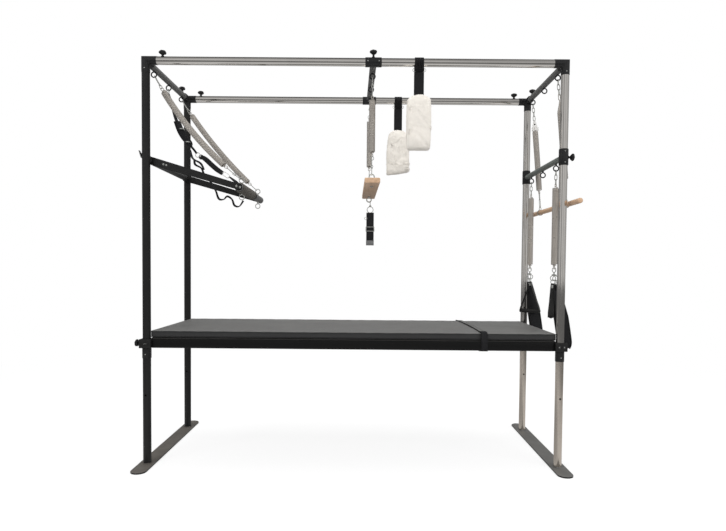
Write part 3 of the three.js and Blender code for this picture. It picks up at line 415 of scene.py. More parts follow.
class Shape:
    """Collects the surfaces of one piece, each with its own finish."""

    def __init__(self):
        self.mesh = bmesh.new()
        self.uv = self.mesh.loops.layers.uv.new("Along")
        self.finishes = []
        self.finish = 0

    def use(self, finish):
        """The surfaces that follow take this finish."""
        if finish not in self.finishes:
            self.finishes.append(finish)
        self.finish = self.finishes.index(finish)

    def face(self, corners, uvs=None):
        """One face of the present finish, with its UVs."""
        made = self.mesh.faces.new(corners)
        made.material_index = self.finish
        if uvs:
            for loop, uv in zip(made.loops, uvs):
                loop[self.uv].uv = uv
        return made

    def rings(self, rows, closed_rows=False, caps=True, along=None, around=None):
        """Skins rows of points; along and around are the UV distances."""
        made = [[self.mesh.verts.new(p) for p in row] for row in rows]
        count = len(rows[0])
        along = along or [float(i) for i in range(len(rows) + 1)]
        around = around or [float(i) for i in range(count + 1)]
        last = len(rows) if closed_rows else len(rows) - 1
        for i in range(last):
            here, after = made[i], made[(i + 1) % len(rows)]
            for j in range(count):
                k = (j + 1) % count
                uvs = [
                    (around[j], along[i]), (around[j + 1], along[i]),
                    (around[j + 1], along[i + 1]), (around[j], along[i + 1]),
                ]
                self.face((here[j], here[k], after[k], after[j]), uvs)
        if caps and not closed_rows:
            self.face(list(reversed(made[0])))
            self.face(made[-1])

    def sweep(self, path, outline, side=(0.0, 0.0, 1.0), closed=False, caps=True, widths=None):
        """Carries an outline along a path; side is where the outline's first axis points."""
        side = Vector(side)
        rows, along = [], [0.0]
        count = len(path)
        for i, point in enumerate(path):
            before = path[(i - 1) % count] if closed else path[max(i - 1, 0)]
            after = path[(i + 1) % count] if closed else path[min(i + 1, count - 1)]
            tangent = (after - before).normalized()
            side = side - tangent * side.dot(tangent)
            side.normalize()
            other = tangent.cross(side)
            scale = widths[i] if widths else 1.0
            rows.append([point + side * (u * scale) + other * v for u, v in outline])
            along.append(along[-1] + (path[(i + 1) % count] - point).length)
        around = [0.0]
        for i in range(len(outline)):
            a, b = Vector(outline[i]), Vector(outline[(i + 1) % len(outline)])
            around.append(around[-1] + (b - a).length)
        self.rings(rows, closed, caps, along, around)

    def rod(self, start, end, diameter, sides=48, edge=0.0006):
        """A round bar with softened ends."""
        radius = diameter / 2
        length = (Vector(end) - Vector(start)).length
        profile = [
            (0.0, 0.0), (0.0, radius - edge), (edge * 0.3, radius - edge * 0.3), (edge, radius),
            (length - edge, radius), (length - edge * 0.3, radius - edge * 0.3), (length, radius - edge),
            (length, 0.0),
        ]
        self.lathe(start, end, profile, sides)

    def tube(self, start, end, diameter, wall, sides=48, edge=0.0005):
        """An open pipe with a wall."""
        outer, inner = diameter / 2, diameter / 2 - wall
        length = (Vector(end) - Vector(start)).length
        profile = [
            (0.0, inner + edge), (0.0, outer - edge), (edge, outer), (length - edge, outer),
            (length, outer - edge), (length, inner + edge), (length - edge, inner), (edge, inner),
        ]
        self.lathe(start, end, profile, sides, hollow=True)

    def lathe(self, start, end, profile, sides=48, hollow=False):
        """Turns a profile of (distance, radius) round the line from start to end."""
        start, end = Vector(start), Vector(end)
        axis = (end - start).normalized()
        side = axis.orthogonal().normalized()
        other = axis.cross(side)
        rows = []
        for distance, radius in profile:
            centre = start + axis * distance
            if radius <= 0.0:
                rows.append([self.mesh.verts.new(centre)])
                continue
            rows.append([
                self.mesh.verts.new(spoke(centre, side, other, radius, math.tau * i / sides))
                for i in range(sides)
            ])
        pairs = list(zip(rows, rows[1:]))
        heights = [distance for distance, _ in profile]
        if hollow:
            pairs.append((rows[-1], rows[0]))
            heights.append(heights[0])
        for i, (low, high) in enumerate(pairs):
            for j in range(sides):
                k = (j + 1) % sides
                turns = (j / sides, (j + 1) / sides)
                if len(low) == 1 and len(high) == 1:
                    continue
                if len(low) == 1:
                    self.face((low[0], high[k], high[j]), [(turns[0], heights[i])] * 3)
                elif len(high) == 1:
                    self.face((low[j], low[k], high[0]), [(turns[0], heights[i])] * 3)
                else:
                    self.face((low[j], low[k], high[k], high[j]), [
                        (turns[0], heights[i]), (turns[1], heights[i]),
                        (turns[1], heights[i + 1]), (turns[0], heights[i + 1]),
                    ])

    def ring(self, centre, axis, radius, wire, sides=32, wire_sides=12):
        """A closed ring of round wire."""
        axis = Vector(axis).normalized()
        side = axis.orthogonal().normalized()
        other = axis.cross(side)
        centre = Vector(centre)
        path = [spoke(centre, side, other, radius, math.tau * i / sides) for i in range(sides)]
        self.sweep(path, circle(wire / 2, wire_sides), axis, closed=True)

    def link(self, start, end, width, wire, normal, sides=10):
        """An oval link of wire between two points, its flat side across the normal."""
        start, end = Vector(start), Vector(end)
        run = (end - start).normalized()
        across = run.cross(Vector(normal)).normalized()
        bend = (width - wire) / 2
        low, high = start + run * (bend + wire / 2), end - run * (bend + wire / 2)
        path = []
        for centre, facing in ((high, 1), (low, -1)):
            for step in range(sides + 1):
                a = math.pi * step / sides
                path.append(centre + (across * math.cos(a) + run * math.sin(a)) * (bend * facing))
        self.sweep(path, circle(wire / 2, 10), normal, closed=True)

    def box(self, low, high, radius=0.001, steps=2):
        """A block with rounded edges."""
        low, high = Vector(low), Vector(high)
        made = bmesh.ops.create_cube(self.mesh, size=1.0, matrix=Matrix.LocRotScale(
            (low + high) / 2, None, high - low,
        ))
        # Kept in order, so that each run gives the same faces in the same order.
        edges = dict.fromkeys(edge for vert in made["verts"] for edge in vert.link_edges)
        faces = dict.fromkeys(face for vert in made["verts"] for face in vert.link_faces)
        bevel = bmesh.ops.bevel(
            self.mesh, geom=list(edges), offset=radius, segments=steps, profile=0.5, affect="EDGES",
            clamp_overlap=True,
        )
        for face in [*bevel["faces"], *(f for f in faces if f.is_valid)]:
            face.material_index = self.finish

    def plate(self, outline, place, thickness, across, up, edge=0.001, steps=2):
        """An outline with thickness: place is its middle, across and up its two axes."""
        across, up = Vector(across).normalized(), Vector(up).normalized()
        out = across.cross(up)
        rows = []
        levels = []
        for step in range(steps + 1):
            a = math.pi / 2 * step / steps
            levels.append((-thickness / 2 + edge * (1 - math.sin(a)), edge * (1 - math.cos(a))))
        levels = levels + [(-level, inset) for level, inset in reversed(levels)]
        count = len(outline)
        for level, inset in levels:
            row = []
            for i, (u, v) in enumerate(outline):
                ahead, back = Vector(outline[(i + 1) % count]), Vector(outline[i - 1])
                run = (ahead - back).normalized()
                inward = Vector((-run.y, run.x))
                flat = across * (u + inward.x * inset), up * (v + inward.y * inset)
                row.append(Vector(place) + flat[0] + flat[1] + out * level)
            rows.append(row)
        self.rings(rows)

    def repaint(self, first, finish, wanted):
        """Gives another finish to the faces since the first that the test picks."""
        self.use(finish)
        self.mesh.faces.ensure_lookup_table()
        for face in self.mesh.faces[first:]:
            face.normal_update()
            if wanted(face):
                face.material_index = self.finish

    def add_mesh(self, mesh, matrix, finish):
        """Adds a ready mesh, moved by the matrix."""
        self.use(finish)
        first = len(self.mesh.faces)
        known = len(self.mesh.verts)
        self.mesh.from_mesh(mesh)
        self.mesh.verts.ensure_lookup_table()
        self.mesh.faces.ensure_lookup_table()
        bmesh.ops.transform(self.mesh, matrix=matrix, verts=self.mesh.verts[known:])
        for face in self.mesh.faces[first:]:
            face.material_index = self.finish

    def done(self, name, body, slot, *nodes, sharp=35.0, tidy_normals=True):
        """Makes the piece, rides it on its body and hides the nodes that it stands for."""
        if tidy_normals:
            bmesh.ops.recalc_face_normals(self.mesh, faces=self.mesh.faces)
        mesh = bpy.data.meshes.new(name)
        self.mesh.to_mesh(mesh)
        self.mesh.free()
        for finish in self.finishes:
            mesh.materials.append(finish)
        mesh.shade_smooth()
        mesh.set_sharp_from_angle(angle=math.radians(sharp))
        piece = bpy.data.objects.new(name, mesh)
        bpy.context.scene.collection.objects.link(piece)
        settle(piece, body, slot, *nodes)
        return piece


def settle(piece, body, slot, *nodes):
    """Rides a piece on its body and hides the nodes that it replaces; its slot is not used."""
    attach(piece, body)
    if nodes:
        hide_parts(*nodes)


def node_group(name, inputs, outputs):
    """An empty shader group with named sockets: the tree, what it is given, and its end node."""
    tree = bpy.data.node_groups.new(name, "ShaderNodeTree")
    add_sockets(tree, "INPUT", inputs)
    add_sockets(tree, "OUTPUT", outputs)
    return tree, put(tree, "NodeGroupInput").outputs, put(tree, "NodeGroupOutput")


def noise_node(tree, vector, scale, detail=3.0, rough=0.55):
    """A noise texture; scale is a number or a socket."""
    return put(tree, "ShaderNodeTexNoise", {
        "Detail": detail, "Roughness": rough, "Vector": vector, "Scale": scale,
    }).outputs[0]


def group_smudge():
    """Large soft patches, for colour and gloss that vary."""
    tree, given, out = node_group("smudge", ("Vector", "Scale"), ("Patches",))
    wire(tree, out, {"Patches": noise_node(tree, given["Vector"], given["Scale"], 4.0)})
    return tree


def group_peel():
    """The fine orange peel of powder coat and moulded plastic."""
    tree, given, out = node_group("orange_peel", ("Vector", "Scale"), ("Height",))
    coarse = noise_node(tree, given["Vector"], given["Scale"], 2.0)
    fine = noise_node(tree, given["Vector"], math_node(tree, "MULTIPLY", given["Scale"], 3.3), 2.0)
    wire(tree, out, {"Height": math_node(tree, "ADD", coarse, math_node(tree, "MULTIPLY", fine, 0.4))})
    return tree


# How far the cells are bent, and how wide their creases are.
GRAIN_WARP = 0.0012
GRAIN_CREASE = 0.22


def group_leather():
    """Pebbled upholstery grain: raised cells with creases between."""
    tree, given, out = node_group("pebble_grain", ("Vector", "Scale"), ("Height", "Creases"))
    warp = put(tree, "ShaderNodeTexNoise", {"Vector": given["Vector"], "Scale": given["Scale"]})
    bent = put(tree, "ShaderNodeVectorMath", {
        0: warp.outputs["Color"], 1: (GRAIN_WARP, GRAIN_WARP, GRAIN_WARP), 2: given["Vector"],
    }, operation="MULTIPLY_ADD")
    cells = put(tree, "ShaderNodeTexVoronoi", {
        "Vector": bent.outputs[0], "Scale": given["Scale"],
    }, feature="DISTANCE_TO_EDGE")
    dome = put(tree, "ShaderNodeMapRange", {
        "From Max": GRAIN_CREASE, "Value": cells.outputs["Distance"],
    }, interpolation_type="SMOOTHSTEP").outputs[0]
    wire(tree, out, {"Height": dome, "Creases": math_node(tree, "SUBTRACT", 1.0, dome)})
    return tree


def group_weave():
    """Plain weave on the strap's own lengths in metres."""
    tree, given, out = node_group("webbing_weave", ("Vector", "Pitch"), ("Height",))
    split = put(tree, "ShaderNodeSeparateXYZ", {0: given["Vector"]}).outputs
    threads, cells = [], []
    for axis, share in (("X", 1.0), ("Y", 1.4)):
        turns = math_node(tree, "DIVIDE", split[axis], math_node(tree, "MULTIPLY", given["Pitch"], share))
        wave = math_node(tree, "SINE", math_node(tree, "MULTIPLY", turns, math.pi))
        threads.append(math_node(tree, "ABSOLUTE", wave))
        cells.append(math_node(tree, "FLOOR", turns))
    check = math_node(tree, "PINGPONG", math_node(tree, "ADD", cells[0], cells[1]), 1.0)
    over = math_node(tree, "MULTIPLY", threads[0], check)
    under = math_node(tree, "MULTIPLY", threads[1], math_node(tree, "SUBTRACT", 1.0, check))
    wire(tree, out, {"Height": math_node(tree, "ADD", over, under)})
    return tree


# How finely wood's fibres and flecks repeat along each axis.
WOOD_FIBRES = (60.0, 3.0, 60.0)
WOOD_FLECKS = (900.0, 55.0, 900.0)


def group_wood():
    """Wood grain that runs along the piece: long fibres, rings and small flecks."""
    tree, given, out = node_group("wood_grain", ("Vector", "Light", "Dark"), ("Color", "Height"))
    long_way, fleck_way = (
        put(tree, "ShaderNodeMapping", {"Scale": scale, "Vector": given["Vector"]}).outputs[0]
        for scale in (WOOD_FIBRES, WOOD_FLECKS)
    )
    rings = noise_node(tree, long_way, 1.0, 4.0, 0.6)
    flecks = math_node(tree, "POWER", noise_node(tree, fleck_way, 1.0, 2.0), 2.5)
    spread = put(tree, "ShaderNodeMapRange", {"From Min": 0.36, "From Max": 0.66, "Value": rings})
    both = math_node(tree, "ADD", math_node(tree, "MULTIPLY", spread.outputs[0], 0.75), flecks)
    mix = put(tree, "ShaderNodeMix", {
        "Factor": both, "A": given["Light"], "B": given["Dark"],
    }, data_type="RGBA")
    wire(tree, out, {"Color": mix.outputs["Result"], "Height": flecks})
    return tree


SMUDGE = group_smudge()
PEEL = group_peel()
PEBBLE = group_leather()
WEAVE = group_weave()
WOOD = group_wood()


def finish(name, light, dark, rough, metal=0.0, grain=None, patch=6.0, **sockets):
    """A material: two shades mixed in patches, gloss that varies, and a fine grain.

    grain is (group, scale, depth in metres, strength of the bump).
    """
    material = bpy.data.materials.new(name)
    material.use_nodes = True
    tree = material.node_tree
    shader = tree.nodes["Principled BSDF"]
    light, dark = (*light, 1.0), (*dark, 1.0)
    wire(tree, shader, {"Metallic": metal})
    wire(tree, shader, {title.replace("_", " "): value for title, value in sockets.items()})
    place = put(tree, "ShaderNodeTexCoord").outputs
    patches = put(tree, "ShaderNodeGroup", {
        "Scale": patch, "Vector": place["Object"],
    }, node_tree=SMUDGE).outputs["Patches"]
    gloss = put(tree, "ShaderNodeMapRange", {
        "From Min": 0.3, "From Max": 0.7, "To Min": rough[0], "To Max": rough[1], "Value": patches,
    })
    wire(tree, shader, {"Roughness": gloss.outputs[0]})
    factor, colour = patches, None
    if grain:
        group, scale, depth, strength = grain
        woven = group is WEAVE
        inputs = {"Vector": place["UV" if woven else "Object"]}
        if group is WOOD:
            inputs.update(Light=light, Dark=dark)
        else:
            inputs["Pitch" if woven else "Scale"] = scale
        texture = put(tree, "ShaderNodeGroup", inputs, node_tree=group).outputs
        if group is WOOD:
            colour = texture["Color"]
        if woven:
            factor = math_node(tree, "SUBTRACT", 1.0, texture["Height"])
        if group is PEBBLE:
            creases = math_node(tree, "MULTIPLY", texture["Creases"], 0.5)
            factor = math_node(tree, "ADD", creases, math_node(tree, "MULTIPLY", patches, 0.5))
        bump = put(tree, "ShaderNodeBump", {
            "Strength": strength, "Distance": depth, "Height": texture["Height"],
        })
        wire(tree, shader, {"Normal": bump.outputs[0]})
    if colour is None:
        mix = put(tree, "ShaderNodeMix", {"A": light, "B": dark, "Factor": factor}, data_type="RGBA")
        colour = mix.outputs["Result"]
    wire(tree, shader, {"Base Color": colour})
    return material


BLACK_PAINT = finish("black_powder_coat", (0.0150, 0.0146, 0.0142), (0.009, 0.009, 0.0092), (0.26, 0.40),
                     grain=(PEEL, 420.0, 0.00012, 0.35), Specular_IOR_Level=0.22)
# The bed frame's own copy of the black powder coat, made darker: painted shade.
FRAME_PAINT_PAINTED_SHADE = finish("frame_powder_coat_painted_shade", (0.0065, 0.0065, 0.0064), (0.004, 0.004, 0.004), (0.3, 0.44),
                     grain=(PEEL, 420.0, 0.00012, 0.35), Specular_IOR_Level=0.16)
FOOT_PAINT = finish("floor_plate_paint", (0.134, 0.123, 0.110), (0.084, 0.077, 0.068), (0.4, 0.58),
                    grain=(PEEL, 300.0, 0.00014, 0.45), patch=9.0, Specular_IOR_Level=0.35)
CHROME = finish("polished_chrome", (0.76, 0.735, 0.70), (0.62, 0.595, 0.565), (0.06, 0.13), 1.0,
                grain=(PEEL, 60.0, 0.00002, 0.1))
LEG_CHROME = finish("warm_leg_chrome", (0.68, 0.615, 0.54), (0.52, 0.465, 0.41), (0.16, 0.28), 1.0,
                    grain=(PEEL, 80.0, 0.00003, 0.12))
PEWTER = finish("pewter_plate", (0.30, 0.296, 0.284), (0.195, 0.191, 0.182), (0.36, 0.5), 0.6,
                grain=(PEEL, 260.0, 0.00012, 0.4), patch=9.0)
BAR_STEEL = finish("dark_bar_steel", (0.168, 0.168, 0.165), (0.112, 0.112, 0.110), (0.34, 0.46), 0.4,
                   grain=(PEEL, 240.0, 0.0001, 0.3), Specular_IOR_Level=0.35)
AXLE_STEEL = finish("dark_axle_steel", (0.062, 0.062, 0.061), (0.040, 0.040, 0.0395), (0.34, 0.46), 0.4,
                    grain=(PEEL, 240.0, 0.0001, 0.3), Specular_IOR_Level=0.35)
SLIDING_STEEL = finish("grey_green_bar_steel", (0.168, 0.186, 0.172), (0.116, 0.129, 0.119), (0.3, 0.44), 0.4,
                       grain=(PEEL, 240.0, 0.0001, 0.3), Specular_IOR_Level=0.35)
NICKEL = finish("nickel_spring_wire", (0.63, 0.59, 0.54), (0.49, 0.455, 0.415), (0.24, 0.36), 0.7, patch=14.0)
ZINC = finish("zinc_fittings", (0.74, 0.745, 0.71), (0.54, 0.55, 0.52), (0.16, 0.3), 0.85, patch=30.0)
# The pad's vinyl in two copies: the top copy painted lighter with sheen, the sides copy painted darker with
# shade.
VINYL_TOP_PAINTED_SHEEN = finish("vinyl_top_painted_sheen", (0.135, 0.1335, 0.130), (0.098, 0.097, 0.0945), (0.38, 0.5),
               grain=(PEBBLE, 620.0, 0.00022, 0.4), patch=3.0)
VINYL_SIDES_PAINTED_SHADE = finish("vinyl_sides_painted_shade", (0.034, 0.034, 0.034), (0.020, 0.020, 0.021), (0.42, 0.55),
                grain=(PEBBLE, 620.0, 0.00022, 0.45), patch=4.0, Specular_IOR_Level=0.35)
PLYWOOD = finish("deck_edge", (0.034, 0.033, 0.032), (0.020, 0.019, 0.018), (0.5, 0.7),
                 grain=(PEEL, 300.0, 0.0001, 0.3), Specular_IOR_Level=0.3)
BEECH_FACE = finish("pale_beech_face", (0.93, 0.89, 0.84), (0.84, 0.80, 0.74), (0.4, 0.55),
                    grain=(WOOD, 1.0, 0.0001, 0.2))
BEECH = finish("oiled_beech", (0.60, 0.405, 0.27), (0.43, 0.275, 0.165), (0.34, 0.5),
               grain=(WOOD, 1.0, 0.0001, 0.3))
FLEECE = finish("lambs_fleece", (0.79, 0.755, 0.70), (0.70, 0.665, 0.615), (0.9, 1.0),
                grain=(PEEL, 190.0, 0.0012, 0.5),
                patch=9.0, Sheen_Weight=0.2, Specular_IOR_Level=0.1)
WEBBING = finish("black_webbing", (0.018, 0.018, 0.019), (0.005, 0.005, 0.006), (0.68, 0.85),
                 grain=(WEAVE, 0.0011, 0.00035, 0.7), Specular_IOR_Level=0.18)
# A lighter copy of the black webbing for the belt's top: painted light where it faces up.
BELT_WEBBING_PAINTED_LIT_TOP = finish("belt_webbing_painted_lit_top", (0.120, 0.119, 0.116), (0.080, 0.079, 0.077), (0.5, 0.7),
                      grain=(WEAVE, 0.0011, 0.0003, 0.5), Specular_IOR_Level=0.3)
MOULDING = finish("black_moulding", (0.0135, 0.0135, 0.014), (0.008, 0.008, 0.0085), (0.28, 0.40),
                  grain=(PEEL, 700.0, 0.0001, 0.3), Specular_IOR_Level=0.35)
FOAM = finish("ribbed_foam", (0.125, 0.116, 0.104), (0.060, 0.056, 0.050), (0.8, 0.95),
              grain=(PEEL, 900.0, 0.0003, 0.6), patch=24.0, Specular_IOR_Level=0.2)
EYE_BLACK = finish("black_eye_ring", (0.012, 0.012, 0.013), (0.007, 0.007, 0.008), (0.22, 0.34),
                   grain=(PEEL, 320.0, 0.00008, 0.3), Specular_IOR_Level=0.4)
BLACK_BOLT = finish("blackened_bolt", (0.10, 0.10, 0.10), (0.05, 0.05, 0.05), (0.18, 0.3), 0.8,
                    grain=(PEEL, 500.0, 0.00005, 0.3))
# Near-black set in holes, sockets and along the belt's edge: painted shade.
PAINTED_SHADE_BLACK = finish("painted_shade_black", (0.010, 0.010, 0.010), (0.004, 0.004, 0.004), (0.7, 0.9), Specular_IOR_Level=0.2)
GREY_CLOTH = finish("grey_cuff_lining", (0.20, 0.20, 0.20), (0.11, 0.11, 0.112), (0.8, 0.95),
                    grain=(WEAVE, 0.0012, 0.0003, 0.6), Specular_IOR_Level=0.2)
WHITE_PLATE = finish("white_bracket", (0.70, 0.69, 0.67), (0.56, 0.55, 0.53), (0.35, 0.5), 0.2,
                     grain=(PEEL, 300.0, 0.00008, 0.3))
LEATHER = finish("black_handle_leather", (0.016, 0.0155, 0.015), (0.009, 0.009, 0.009), (0.36, 0.5),
                 grain=(PEBBLE, 520.0, 0.0003, 0.5), Specular_IOR_Level=0.35)


def new_tree(name, inputs):
    """A geometry tree with named inputs that ends in Realize Instances and Set Material."""
    tree = bpy.data.node_groups.new(name, "GeometryNodeTree")
    add_sockets(tree, "INPUT", ("Geometry", *inputs))
    add_sockets(tree, "OUTPUT", ("Geometry",))
    given = put(tree, "NodeGroupInput").outputs
    real = put(tree, "GeometryNodeRealizeInstances")
    paint = put(tree, "GeometryNodeSetMaterial", {"Geometry": real.outputs[0], "Material": given["Finish"]})
    put(tree, "NodeGroupOutput", {0: paint.outputs[0]})
    return tree, given, real


def coil_tree():
    """A close-wound spring coil that stands on the origin."""
    tree, given, real = new_tree("wound_coil", ("Length", "Turns", "Radius", "Wire", "Finish"))
    spiral = put(tree, "GeometryNodeCurveSpiral", {
        "Resolution": 24, "Rotations": given["Turns"], "Start Radius": given["Radius"],
        "End Radius": given["Radius"], "Height": given["Length"],
    })
    section = put(tree, "GeometryNodeCurvePrimitiveCircle", {"Resolution": 7, "Radius": given["Wire"]})
    skin = put(tree, "GeometryNodeCurveToMesh", {
        "Fill Caps": True, "Curve": spiral.outputs[0], "Profile Curve": section.outputs[0],
    })
    smooth = put(tree, "GeometryNodeSetShadeSmooth", {"Geometry": skin.outputs[0]})
    wire(tree, real, {0: smooth.outputs[0]})
    return tree


def stitch_tree():
    """Short threads laid at a pitch along a line of points."""
    tree, given, real = new_tree("stitch_row", ("Pitch", "Length", "Thread", "Finish"))
    line = put(tree, "GeometryNodeMeshToCurve", {0: given["Geometry"]})
    steps = put(tree, "GeometryNodeResampleCurve", {
        "Curve": line.outputs[0], "Length": given["Pitch"],
    }, mode="LENGTH")
    thread = put(tree, "GeometryNodeMeshCylinder", {
        "Vertices": 6, "Radius": given["Thread"], "Depth": given["Length"],
    })
    tangent = put(tree, "GeometryNodeInputTangent")
    turn = put(tree, "FunctionNodeAlignRotationToVector", {"Vector": tangent.outputs[0]}, axis="Z")
    place = put(tree, "GeometryNodeInstanceOnPoints", {
        "Points": steps.outputs[0], "Instance": thread.outputs["Mesh"], "Rotation": turn.outputs[0],
    })
    wire(tree, real, {0: place.outputs[0]})
    return tree


TUFT_SMALLEST = (0.45, 0.45, 0.35)
TUFT_LARGEST = (1.3, 1.1, 0.8)


def tuft_tree():
    """Wool tufts scattered over a skin, each turned and sized at random from one seed."""
    tree, given, real = new_tree("wool_tufts", ("Density", "Tuft", "Seed", "Finish"))
    spread = put(tree, "GeometryNodeDistributePointsOnFaces", {
        "Mesh": given["Geometry"], "Density": given["Density"], "Seed": given["Seed"],
    })
    lock = put(tree, "GeometryNodeMeshIcoSphere", {"Subdivisions": 1, "Radius": given["Tuft"]})
    size = put(tree, "FunctionNodeRandomValue", {
        0: TUFT_SMALLEST, 1: TUFT_LARGEST, "Seed": given["Seed"],
    }, data_type="FLOAT_VECTOR")
    place = put(tree, "GeometryNodeInstanceOnPoints", {
        "Points": spread.outputs["Points"], "Instance": lock.outputs["Mesh"],
        "Rotation": spread.outputs["Rotation"], "Scale": size.outputs[0],
    })
    both = put(tree, "GeometryNodeJoinGeometry", {0: place.outputs[0]})
    wire(tree, both, {0: given["Geometry"]})
    smooth = put(tree, "GeometryNodeSetShadeSmooth", {"Geometry": both.outputs[0]})
    wire(tree, real, {0: smooth.outputs[0]})
    return tree


def holder_of(name, mesh):
    """A passing object in the scene that carries a mesh."""
    holder = bpy.data.objects.new(name, mesh)
    bpy.context.scene.collection.objects.link(holder)
    return holder


def evaluated_mesh(holder):
    """The mesh that a passing object's modifiers make; the object goes."""
    evaluated = holder.evaluated_get(bpy.context.evaluated_depsgraph_get())
    result = bpy.data.meshes.new_from_object(evaluated)
    bpy.data.objects.remove(holder)
    return result


def grown(tree, base=None, **values):
    """The plain mesh that a geometry tree makes, from a base mesh or from nothing."""
    holder = holder_of("grown", base or bpy.data.meshes.new("seed"))
    modifier = holder.modifiers.new("grow", "NODES")
    modifier.node_group = tree
    for item in tree.interface.items_tree:
        if item.in_out == "INPUT" and item.name in values:
            modifier[item.identifier] = values[item.name]
    return evaluated_mesh(holder)


def solved(mesh, *modifiers):
    """A mesh after the given modifiers, each (kind, settings)."""
    holder = holder_of("solved", mesh)
    for kind, settings in modifiers:
        modifier = holder.modifiers.new(kind.lower(), kind)
        for title, value in settings.items():
            setattr(modifier, title, value)
    return evaluated_mesh(holder)


COIL_TREE = coil_tree()
STITCH_TREE = stitch_tree()
TUFT_TREE = tuft_tree()

KNOB_LOBES = 5
KNOB_LOBE_DEPTH = 0.004


def add_knob(node, seat, axis, stem=KNOB_STEM):
    """A five-lobed clamp knob: a domed head, a hub that narrows, and its screw."""
    axis = Vector(axis)
    side = axis.orthogonal().normalized()
    other = axis.cross(side)
    shape = Shape()
    shape.use(MOULDING)
    seat = Vector(seat)
    # Each level of the head: height over the seat, size share, how much of the lobes shows.
    levels = (
        (stem + 0.0002, 0.36, 0.0), (stem + 0.003, 0.50, 0.2), (stem + 0.006, 0.80, 0.8),
        (stem + 0.009, 0.97, 1.0),
        (stem + 0.011, 1.0, 1.0), (stem + 0.015, 1.0, 1.0), (stem + 0.018, 0.93, 0.9),
        (stem + 0.0208, 0.76, 0.6),
        (stem + 0.0225, 0.50, 0.2), (stem + 0.0232, 0.30, 0.0), (stem + KNOB_HEAD, 0.05, 0.0),
    )
    sides = 60
    rows = []
    for height, share, lobes in levels:
        row = []
        for i in range(sides):
            a = math.tau * i / sides
            dip = KNOB_LOBE_DEPTH / 2 * (1 - math.cos(a * KNOB_LOBES)) * lobes
            radius = KNOB / 2 * share - dip
            row.append(spoke(seat + axis * height, side, other, radius, a))
        rows.append(row)
    shape.rings(rows)
    hub = KNOB_HUB / 2
    shape.lathe(seat, seat + axis, [
        (0.0005, 0.0), (0.0005, hub * 0.92), (0.0012, hub), (0.003, hub), (0.0042, hub * 0.72),
        (stem - 0.001, hub * 0.66), (stem + 0.001, hub * 0.8), (stem + 0.001, 0.0),
    ], 36)
    shape.use(ZINC)
    shape.rod(seat - axis * 0.0028, seat + axis * 0.0006, 0.0079, 24, 0.0003)
    shape.done(f"{node}_finished", f"{node}_body", "moulding", node)


SCREW_DIAMETER = 0.006


def set_screw(shape, place, axis, diameter=SCREW_DIAMETER):
    """A socket set screw: a bright rim and a dark hexagon, painted shade of its socket."""
    place, axis = Vector(place), Vector(axis).normalized()
    shape.use(ZINC)
    shape.rod(place - axis * 0.001, place + axis * 0.0006, diameter, 24, 0.0003)
    shape.use(PAINTED_SHADE_BLACK)
    shape.rod(place + axis * 0.0001, place + axis * 0.0007, diameter * 0.5, 6, 0.0001)


def eye_on(shape, place, rise, ring_axis=(0.0, 1.0, 0.0), wire=EYE_WIRE, finish_used=None):
    """A forged eye ring on a collar and stem, above or below a bar."""
    place = Vector(place)
    sign = 1.0 if rise > 0 else -1.0
    up = Vector((0.0, 0.0, sign))
    shape.use(finish_used or EYE_BLACK)
    shape.ring(place + up * abs(rise), ring_axis, EYE, wire, 40, 14)
    neck = abs(rise) - EYE
    shape.lathe(place, place + up, [
        (neck - 0.012, 0.0), (neck - 0.012, 0.0052), (neck - 0.0085, 0.0058), (neck - 0.0065, 0.0058),
        (neck - 0.003, 0.0036), (neck + 0.0008, 0.0034), (neck + 0.0008, 0.0),
    ], 24)


def chain(shape, start, end, count, normal, width=0.017):
    """Oval links in a row, each turned a quarter from the last."""
    start, end = Vector(start), Vector(end)
    run = (end - start).normalized()
    length = (end - start).length
    overlap = LINK_WIRE * 2
    each = (length + overlap * (count - 1)) / count
    turned = run.cross(Vector(normal)).normalized()
    for i in range(count):
        low = start + run * (i * (each - overlap))
        shape.link(low, low + run * each, width, LINK_WIRE, normal if i % 2 == 0 else turned)


def snap_hook(shape, start, end, normal):
    """A spring snap: a long hook with its sprung gate, a swivel barrel and a small ring."""
    start, end, normal = Vector(start), Vector(end), Vector(normal).normalized()
    run = (end - start).normalized()
    length = (end - start).length
    across = run.cross(normal).normalized()
    shape.use(ZINC)
    shape.link(start, start + run * (length * 0.68), 0.0235, LINK_WIRE, normal)
    shape.sweep(
        [start + run * (length * s) + across * w for s,
         w in ((0.16, 0.0086), (0.3, 0.0070), (0.44, 0.0066), (0.55, 0.0084))],
        circle(0.0011, 8), normal,
    )
    shape.lathe(start + run * (length * 0.64), end, [
        (0.0, 0.0), (0.0, 0.0036), (0.0012, 0.0052), (length * 0.10, 0.0052), (length * 0.12, 0.0038),
        (length * 0.12, 0.0),
    ], 20)
    shape.link(start + run * (length * 0.74), end, 0.0165, LINK_WIRE * 0.92, across)


